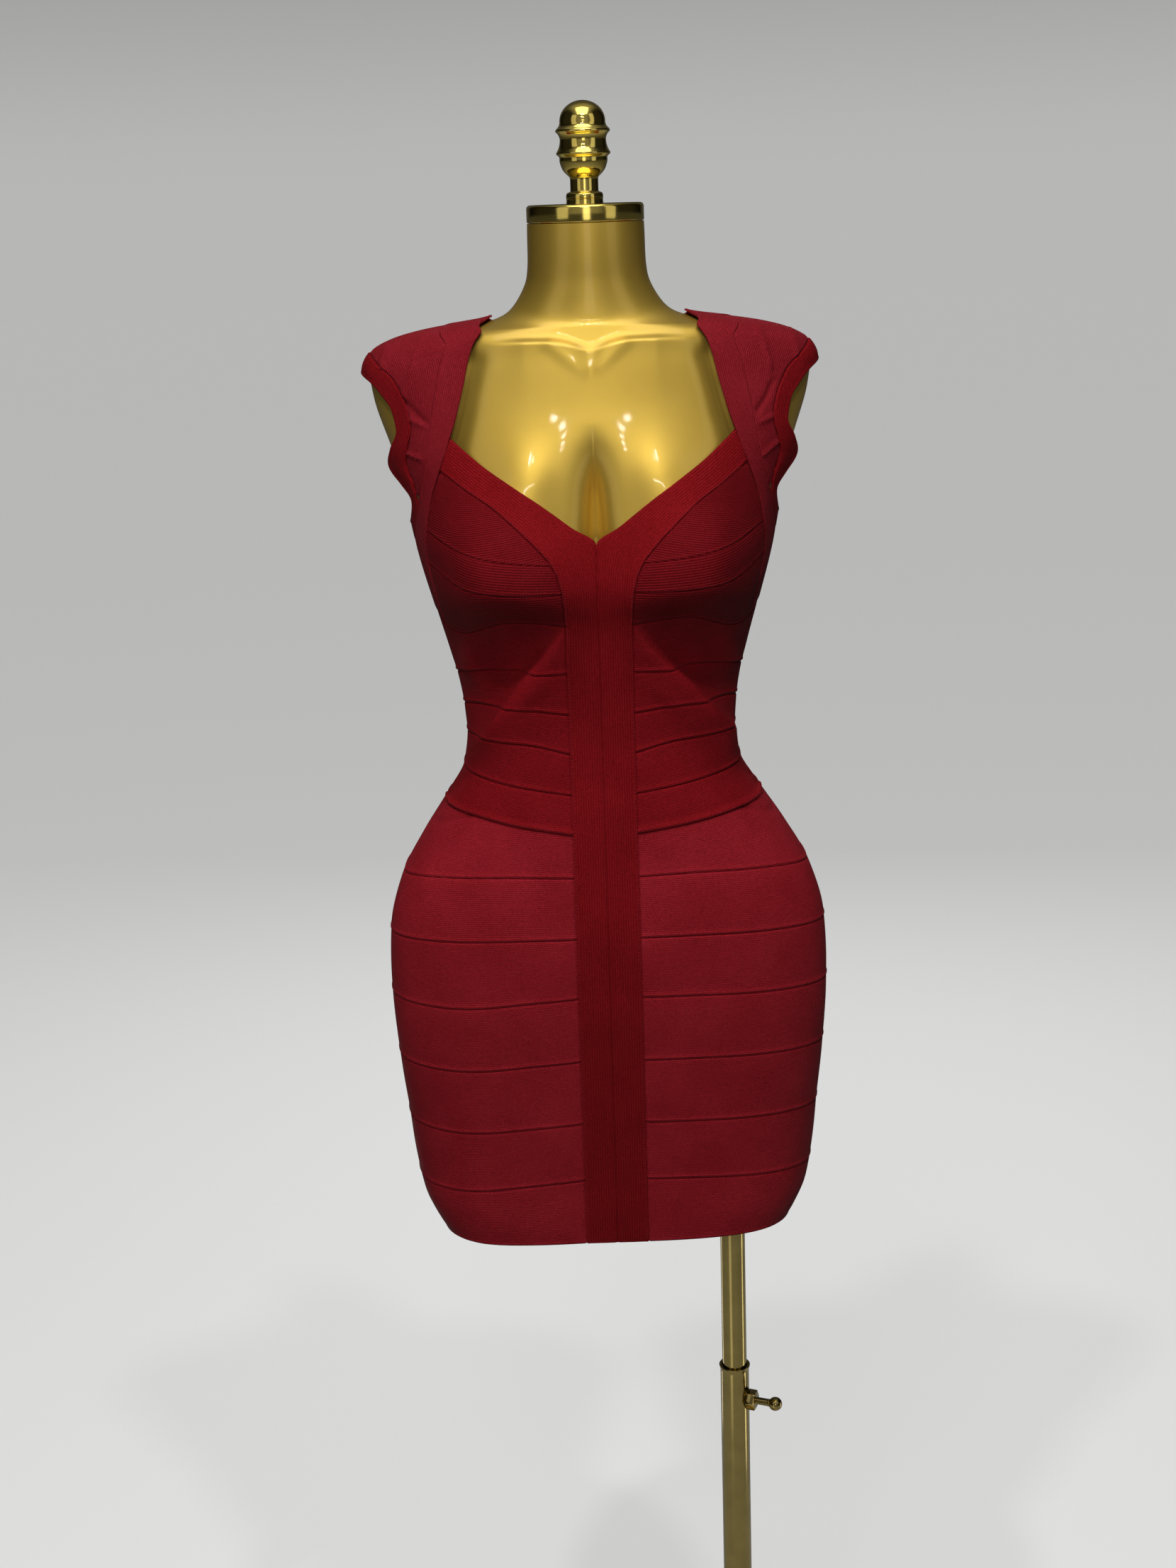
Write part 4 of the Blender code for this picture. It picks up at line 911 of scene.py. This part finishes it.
def makeStitches():
    last = len(neckBandInner) - 1
    inner, outer = (edge(stations, 0.3, last) for stations in (neckBandInner, neckBandOuter))
    levels = np.linspace(levelAtHeight(1.2023), 0.6950, denseCount)
    outerCentre = np.stack((stripTurn(levels), levels), axis=-1)
    innerCentre = np.stack((0.0 * levels, levels), axis=-1)
    for side, sign in (("left", 1), ("right", -1)):
        flip = np.array((sign, 1))
        band = f"neck_and_centre_band_{side}"
        neck = shiftedRun(outer, inner, stitchShapes["overcast"]["inset"])
        stitchRow(f"overcast_stitches_neck_{side}", neck * flip, "overcast", band)
        centre = shiftedRun(outerCentre, innerCentre, stitchShapes["cover"]["inset"])
        stitchRow(f"cover_stitches_centre_{side}", centre * flip, "cover", band)
        waist = seamOnStrip("waist", sign < 0)[: int(denseCount * waistStitches["share"])]
        waist = waist + (0.0, waistStitches["inset"])
        stitchRow(f"overcast_stitches_waist_{side}", waist * flip, "overcast", f"front_midriff_band_5_{side}",
                  waistStitches["out"])


def upperBand(name):
    cups = {"cupUpper": "cup_band_1", "cupLower": "cup_band_2", "underbust": "cup_band_3"}
    return cups.get(name) or bandName(seamNames.index(name) - 1)


def makeLinkingStitches():
    inset = stitchShapes["link"]["inset"]
    for name, *_, atSide, _ in seamRows[:-1]:
        for side, sign in (("left", 1), ("right", -1)):
            if name != "waist":
                run = seamRuns[name] if name in seamRuns else seamOnStrip(name, sign < 0)
                stitchRow(f"linking_stitches_{name}_{side}", (run[2:-2] + (0.0, inset)) * (sign, 1), "link",
                          f"front_{upperBand(name)}_{side}")
        if not name.startswith("cup"):
            level = levelAtHeight(atSide) + inset
            carrier = "back_upper_band_2" if name == "underbust" else "back_" + upperBand(name)
            stitchRow(f"linking_stitches_{name}_back", straight((1.58, level), (4.70, level)), "link", carrier)


makeStitches()
makeLinkingStitches()
print("stitches made")

# ---- the gold form
torso = {"bottom": 0.715, "fullness": 0.054, "clearance": 0.0028, "columns": 241, "neck": (1.492, 1.560),
         "levels": ((0.715, 1.20, 40), (1.204, 1.46, 110), (1.46, 1.565, 42)),  # from, to, how many
         "closer": ((4.0, 0.05), (1.5, 0.20))}  # more columns at the middle: how many more, how wide
# the form draws back from the cloth: height, reach, depth
eases = ((0.712, 0.022, 0.0016), (0.880, 0.200, 0.0024), (1.140, 0.070, 0.0090), (1.340, 0.085, 0.0019))
collarbones = {"height": 1.4045, "dip": 0.0060, "dipReach": 0.016, "rise": 0.0040, "below": 0.022,
               "above": 0.0045, "fadeFrom": 0.050, "fadeTo": 0.088, "notch": 0.45, "notchReach": 0.010}
crease = {"depth": 0.0120, "width": 0.026, "sharp": 3.0, "top": 1.350, "fade": 0.055}
mounds = {"x": 0.047, "height": 1.310, "rise": 0.0040, "across": 0.024, "along": 0.023}
chestEdge = ((0.0900, 1.3950), (0.1000, 1.3560), (0.1155, 1.3130), (0.1200, 1.2950))
# lines of relief: points (x, z), rise, reach
formLines = (
    (((-0.030, 1.4035), (-0.006, 1.3860)), 0.0005, 0.0045),
    (((0.026, 1.4035), (0.006, 1.3880)), 0.0005, 0.0045),
    *((tuple((side * x, z) for x, z in chestEdge), -0.0050, 0.0100) for side in (1, -1)),
)


def formRise(point):
    x, z = np.abs(point[..., 0]), point[..., 2]
    total = lineRelief(point, formLines)
    crest = collarbones["height"] - collarbones["dip"] * bell(x / collarbones["dipReach"])
    over = z - crest
    profile = np.where(over < 0, np.exp(over / collarbones["below"]), bell(over / collarbones["above"]))
    fade = 1 - np.clip((x - collarbones["fadeFrom"]) / (collarbones["fadeTo"] - collarbones["fadeFrom"]), 0, 1)
    notch = 1 - collarbones["notch"] * bell(x / collarbones["notchReach"])
    total += collarbones["rise"] * profile * fade * notch
    closing = np.clip((crease["top"] - z) / crease["fade"], 0, 1)
    cleft = crease["depth"] * np.clip(1 - x / crease["width"], 0, 1) ** crease["sharp"]
    total -= cleft * closing * closing * (3 - 2 * closing)
    across, along = (x - mounds["x"]) / mounds["across"], (z - mounds["height"]) / mounds["along"]
    total += mounds["rise"] * bell(across) * bell(along)
    return np.where(point[..., 1] < 0, total, 0.0)


def formPoint(turn, level):
    bare = barePoint(turn, level, torso["fullness"])
    ease = sum(depth * bell((bare[..., 2] - height) / reach) for height, reach, depth in eases)
    neck = easing(level, *torso["neck"])
    inset = (torso["clearance"] + ease) * (1 - neck) - formRise(bare)
    return bare - inset[..., None] * outwardNormal(turn, level, torso["fullness"])


def makeForm():
    levels = np.unique(np.concatenate([np.linspace(*span) for span in torso["levels"]]))
    columns = torso["columns"]
    share = np.linspace(-0.5, 0.5, 2001)
    density = 1 + sum(more * bell(share / reach) for more, reach in torso["closer"])
    spent = np.concatenate(((0,), np.cumsum((density[1:] + density[:-1]) / 2)))
    shares = np.interp(np.linspace(0, spent[-1], columns), spent, share + 0.5)
    turns = np.linspace(-math.pi, math.pi, 721)
    rings = []
    for level in levels:
        run = np.stack((turns, np.full(len(turns), level)), axis=-1)
        even = atShares(run, shares)
        rings.append(formPoint(even[:, 0], even[:, 1]))
    rings[0][:, 2] = torso["bottom"]
    form = bmesh.new()
    bmesh.ops.create_grid(form, x_segments=columns - 1, y_segments=len(levels) - 1, size=0.5)
    for vert in form.verts:
        column = round((vert.co.x + 0.5) * (columns - 1)) % (columns - 1)
        row = round((vert.co.y + 0.5) * (len(levels) - 1))
        vert.co = Vector(rings[row][column])
    bmesh.ops.remove_doubles(form, verts=form.verts[:], dist=1e-6)
    bmesh.ops.holes_fill(form, edges=[line for line in form.edges if line.is_boundary], sides=0)
    bmesh.ops.recalc_face_normals(form, faces=form.faces[:])
    mesh = meshFrom(form, "gold_torso")
    addObject("gold_torso", mesh, goldPaint, "form", "gold_form", "dress_form", sharp=50)


makeForm()
print("form made")


# ---- turned metal pieces
def turned(name, outline, steps, material, body, slot, node, bore=None, at=(0, 0, 0), turn=None):
    # outline: (radius, height) from top to bottom
    points = list(outline)
    if bore is None:
        points = [(0.0, points[0][1])] + points + [(0.0, points[-1][1])]
    else:
        points = points + [(bore, points[-1][1]), (bore, points[0][1]), points[0]]
    form = bmesh.new()
    verts = [form.verts.new((radius, 0.0, height)) for radius, height in points]
    for pair in zip(verts, verts[1:]):
        form.edges.new(pair)
    bmesh.ops.remove_doubles(form, verts=form.verts[:], dist=1e-6)
    bmesh.ops.spin(form, geom=form.verts[:] + form.edges[:], cent=(0, 0, 0), axis=(0, 0, 1), dvec=(0, 0, 0),
                   angle=math.tau, steps=steps, use_merge=True, use_duplicate=False)
    bmesh.ops.remove_doubles(form, verts=form.verts[:], dist=1e-6)
    bmesh.ops.recalc_face_normals(form, faces=form.faces[:])
    if turn is not None:
        bmesh.ops.transform(form, matrix=turn, verts=form.verts[:])
    bmesh.ops.translate(form, verts=form.verts[:], vec=at)
    addObject(name, meshFrom(form, name), material, body, slot, node, sharp=32)


def arcPoints(center, radius, start, end, count):
    return [(center[0] + radius * math.cos(math.radians(a)), center[1] + radius * math.sin(math.radians(a)))
            for a in np.linspace(start, end, count)]


cap = {
    "foot": 1.4900, "height": 0.0870, "steps": 96, "crownRadius": 0.0170, "crownDrop": 0.0150,
    "profile": (  # radius, depth below the crown
        (0.0170, 0.0160), (0.0176, 0.0180), (0.0190, 0.0198), (0.0201, 0.0210), (0.0203, 0.0218),
        (0.0199, 0.0226), (0.0187, 0.0238), (0.0177, 0.0256), (0.0172, 0.0280), (0.0175, 0.0310),
        (0.0184, 0.0342), (0.0196, 0.0364), (0.0202, 0.0376), (0.0199, 0.0386), (0.0186, 0.0396),
        (0.0179, 0.0408), (0.0179, 0.0430), (0.0172, 0.0460), (0.0160, 0.0490), (0.0142, 0.0515),
        (0.0120, 0.0537), (0.0108, 0.0550), (0.0105, 0.0565), (0.0105, 0.0640), (0.0108, 0.0652),
        (0.0128, 0.0660), (0.0137, 0.0672), (0.0139, 0.0690), (0.0137, 0.0712), (0.0139, 0.0740)),
    "plate": (0.0300, 0.0130),  # radius, height above the foot
    "rims": ((0.0412, 0.0102, 0.0028, 90, 0, 7), (0.0428, 0.0012, 0.0012, 0, -90, 4)),
}


def makeCap():
    foot, crown = cap["foot"], cap["foot"] + cap["height"]
    outline = [(cap["crownRadius"] * math.sin(a), crown - cap["crownDrop"] * (1 - math.cos(a)))
               for a in np.radians(np.arange(5, 91, 7))]
    knots = np.array(cap["profile"])
    for k in np.linspace(0, len(knots) - 1, 4 * len(knots)):
        radius, depth = (float(smoothThrough(np.arange(len(knots)), knots[:, column], np.array(k)))
                         for column in (0, 1))
        outline.append((radius, crown - depth))
    outline.append((cap["plate"][0], foot + cap["plate"][1]))
    for radius, height, *arc in cap["rims"]:
        outline += arcPoints((radius, foot + height), *arc)
    turned("neck_cap_and_finial", outline, cap["steps"], brass, "form", "polished_brass", "neck_cap")


stand = {
    "x": 0.100, "y": 0.030, "baseRadius": 0.190, "baseThickness": 0.008, "baseRings": (0.2, 0.45, 0.7, 0.9),
    "topRim": 0.0030, "lowRim": 0.0008, "mastRadius": 0.0125, "mastBore": 0.0113, "mastTop": 0.513,
    "lip": 0.0006, "lipOut": 0.0004,
    "collar": ((0.0006, 0.0022), (0.0002, 0.0034), (0.0, 0.0046)),  # outwards, below the top
    "mastRings": (0.30, 0.12),
    "fillet": ((0.0, 0.026), (0.0012, 0.0225), (0.0040, 0.0200)),  # outwards, above the base
    "flange": ((0.0185, 0.0188), (0.0240, 0.0130), (0.0285, 0.0070), (0.0298, 0.0035), (0.0300, 0.0)),
    "poleRadius": 0.01065, "poleEdge": 0.001, "poleRings": (0.70, 0.60, 0.50, 0.40), "poleBottom": 0.270,
    "poleTop": 0.768, "gap": 0.0003, "nutHeight": 0.480, "nutTurn": math.radians(-22), "nutAcross": 0.016,
    "nutDepth": 0.0070, "nutSunk": 0.0010, "nutBevel": 0.0008, "screwRadius": 0.0033, "screwShown": 0.0115,
    "screwTip": 0.0006, "ball": 0.0060, "pitch": 0.0010, "threadDepth": 0.0003, "threadEnds": 0.0004,
}


def makeStand():
    at = (stand["x"], stand["y"], 0.0)
    radius, thick = stand["baseRadius"], stand["baseThickness"]
    high, low = stand["topRim"], stand["lowRim"]
    rings = [(radius * share, thick) for share in stand["baseRings"]]
    rings += arcPoints((radius - high, thick - high), high, 90, 0, 7)
    rings += arcPoints((radius - low, low), low, 0, -90, 4)
    turned("base_disc", rings, 128, baseMetal, "stand", "stand_metal", "base_plate")
    foot, top, tube = thick + stand["gap"], stand["mastTop"], stand["mastRadius"]
    lip = stand["lip"]
    outline = [(stand["mastBore"] + stand["gap"], top)]
    outline += arcPoints((tube + stand["lipOut"], top - lip), lip, 90, -10, 5)
    outline += [(tube + outwards, top - below) for outwards, below in stand["collar"]]
    outline += [(tube, height) for height in stand["mastRings"]]
    outline += [(tube + outwards, foot + above) for outwards, above in stand["fillet"]]
    outline += [(flange, foot + above) for flange, above in stand["flange"]]
    turned("mast_tube", outline, 64, poleMetal, "stand", "stand_metal", "mast", bore=stand["mastBore"], at=at)
    pole, edgeRadius = stand["poleRadius"], stand["poleEdge"]
    rod = arcPoints((pole - edgeRadius, stand["poleTop"] - edgeRadius), edgeRadius, 90, 0, 4)
    rod += [(pole, height) for height in (*stand["poleRings"], stand["poleBottom"])]
    turned("inner_pole", rod, 64, poleMetal, "height_pole", "stand_metal", "pole", at=at)


def alongClamp(distance):
    return Vector((stand["x"] + distance * math.cos(stand["nutTurn"]),
                   stand["y"] + distance * math.sin(stand["nutTurn"]), stand["nutHeight"]))


def clampTurn():
    return Matrix.Rotation(stand["nutTurn"], 4, "Z") @ Matrix.Rotation(math.pi / 2, 4, "Y")


def makeClamp():
    face = stand["mastRadius"] + stand["nutDepth"]
    form = bmesh.new()
    start = stand["mastRadius"] - stand["nutSunk"]
    corner = stand["nutAcross"] / math.sqrt(3)
    bmesh.ops.create_cone(form, cap_ends=True, segments=6, radius1=corner, radius2=corner, depth=face - start)
    bmesh.ops.bevel(form, geom=form.edges[:], offset=stand["nutBevel"], affect="EDGES", segments=2,
                    profile=0.5, material=-1)
    middle = Matrix.Translation(alongClamp((start + face) / 2)) @ clampTurn()
    bmesh.ops.transform(form, matrix=middle, verts=form.verts[:])
    addObject("clamp_nut", meshFrom(form, "clamp_nut"), poleMetal, "stand", "stand_metal", sharp=32)
    tip, radius, pitch = stand["poleRadius"] + stand["gap"], stand["screwRadius"], stand["pitch"]
    ball = face + stand["screwShown"] + stand["ball"]
    joint = math.asin(radius / stand["ball"])
    outline = [(stand["ball"] * math.sin(a), ball + stand["ball"] * math.cos(a))
               for a in np.linspace(0.12, math.pi - joint, 16)]
    for crest in np.arange(ball - stand["ball"] - stand["threadEnds"], face + stand["threadEnds"], -pitch):
        outline += [(radius, float(crest)), (radius - stand["threadDepth"], float(crest) - pitch / 2)]
    outline += [(radius, tip + stand["screwTip"]), (radius - stand["screwTip"], tip)]
    turned("clamp_screw_ball_end", outline, 48, poleMetal, "clamp", "stand_metal", "clamp_screw",
           at=alongClamp(0.0), turn=clampTurn())


makeCap()
makeStand()
makeClamp()
print("stand made")

# ---- floor, light
studio = {"floorRadius": 30.0, "floor": (0.30, 0.304, 0.30), "glow": 0.43,
          "horizon": (0.4740, 0.4750, 0.4690), "sky": (0.345, 0.345, 0.340), "rising": (0.0, 0.12, 0.0, 1.0)}
# light from around, by direction: from, to, strength at the first, strength at the second. It's dim at the
# sides, so that round metal has edges.
around = {"aside": (0.35, 0.75, 1.0, 0.05), "front": (-0.9, -0.3, 0.60, 1.0), "back": (0.1, 0.7, 1.0, 0.20),
          "height": (0.0, 0.7, 0.34, 0.30)}
# name, place, aim, size, power, what it lights
lights = (
    ("key", (-0.30, -1.95, 2.25), (0.0, -0.05, 1.10), (0.60, 0.60), 27.0, "cloth"),
    ("ceiling_1", (-0.42, -1.02, 2.90), (0.0, -0.05, 1.15), (0.10, 0.10), 31.0, "cloth"),
    ("ceiling_2", (0.36, -0.98, 2.90), (0.0, -0.05, 1.15), (0.10, 0.10), 25.0, "cloth"),
    ("panel_above", (0.0, -0.62, 2.90), (0.0, 0.0, 1.35), (1.30, 1.30), 10.0, "gloss"),
    ("panel_left", (-1.30, -1.30, 1.90), (0.0, 0.0, 1.45), (0.80, 1.60), 1.9, "gloss"),
    ("panel_right", (1.20, -1.00, 1.90), (0.0, 0.0, 1.45), (0.60, 1.60), 1.6, "gloss"),
    ("panel_front", (0.10, -2.60, 1.45), (0.0, 0.0, 1.45), (0.60, 1.20), 2.8, "gloss"),
    ("low_right", (0.70, 0.05, 0.25), (0.1, 0.03, 0.30), (0.12, 0.60), 0.42, "gloss"),
    ("low_behind", (-0.40, 0.50, 0.25), (0.1, 0.03, 0.30), (0.10, 0.60), 0.35, "gloss"),
    ("low_left", (-0.20, -0.50, 0.25), (0.1, 0.03, 0.30), (0.22, 0.60), 0.22, "gloss"),
    ("behind", (0.2, 2.6, 2.0), (0.0, 0.0, 1.2), (1.6, 1.2), 44.0, "cloth"),
)
# rows: y, height
downlights = {"count": 5, "reach": 0.24, "rows": ((-1.45, 2.75), (-2.30, 2.60)), "size": 0.055, "power": 0.55,
              "aim": 1.35}


def downlightRows():
    for row, (y, z) in enumerate(downlights["rows"]):
        for number in range(downlights["count"]):
            x = downlights["reach"] * (2 * number / (downlights["count"] - 1) - 1)
            yield (f"downlight_{row + 1}_{number + 1}", (x, y, z), (x / 2, 0.0, downlights["aim"]),
                   (downlights["size"], downlights["size"]), downlights["power"], "gloss")


def makeFloor():
    form = bmesh.new()
    bmesh.ops.create_circle(form, cap_ends=True, segments=96, radius=studio["floorRadius"])
    mesh = meshFrom(form, "studio_floor")
    floor = bpy.data.objects.new("studio_floor", mesh)
    bpy.context.scene.collection.objects.link(floor)
    material, shader, fill, add, math2 = nodeMaterial("pale_floor")
    glow = math2("MULTIPLY", add("LightPath", {}).outputs["Is Camera Ray"], studio["glow"])
    fill(shader, {"Base Color": (*studio["floor"], 1), "Roughness": 0.9, "Specular IOR Level": 0.1,
                  "Emission Color": (1.0, 1.0, 0.99, 1), "Emission Strength": glow})
    mesh.materials.append(material)


def makeWorld():
    world = bpy.data.worlds.new("pale_world")
    bpy.context.scene.world = world
    world.use_nodes = True
    fill, add, math2 = nodeTools(world.node_tree)
    parts = add("SeparateXYZ", {"Vector": add("TexCoord", {}).outputs["Generated"]}).outputs

    def ramp(value, low, high, start, end):
        limits = {"From Min": low, "From Max": high, "To Min": start, "To Max": end}
        return add("MapRange", {"Value": value, **limits}, interpolation_type="SMOOTHSTEP").outputs["Result"]

    aside = ramp(math2("ABSOLUTE", parts["X"]), *around["aside"])
    front, back = (ramp(parts["Y"], *around[side]) for side in ("front", "back"))
    light = math2("MULTIPLY", aside, math2("MULTIPLY", front, back))
    light = math2("MULTIPLY", light, ramp(parts["Z"], *around["height"]))
    sky = add("Mix", {"Factor": ramp(parts["Z"], *studio["rising"]), "A": (*studio["horizon"], 1),
                      "B": (*studio["sky"], 1)}, data_type="RGBA")
    seen = add("LightPath", {}).outputs["Is Camera Ray"]
    mixed = add("Mix", {"Factor": seen, "A": light, "B": sky.outputs["Result"]}, data_type="RGBA")
    fill(world.node_tree.nodes["Background"], {"Color": mixed.outputs["Result"], "Strength": 1.0})


def makeLights():
    for name, spot, aim, size, power, lit in (*lights, *downlightRows()):
        data = bpy.data.lights.new(name, "AREA")
        data.shape, data.size, data.size_y, data.energy = "RECTANGLE", size[0], size[1], power
        lamp = bpy.data.objects.new(name, data)
        bpy.context.scene.collection.objects.link(lamp)
        lamp.location = spot
        lamp.visible_glossy, lamp.visible_diffuse, lamp.visible_camera = lit != "cloth", lit != "gloss", False
        lamp.rotation_euler = (Vector(aim) - Vector(spot)).to_track_quat("-Z", "Y").to_euler()


makeFloor()
makeWorld()
makeLights()
bpy.context.scene.view_settings.view_transform = "Standard"
print("studio made")
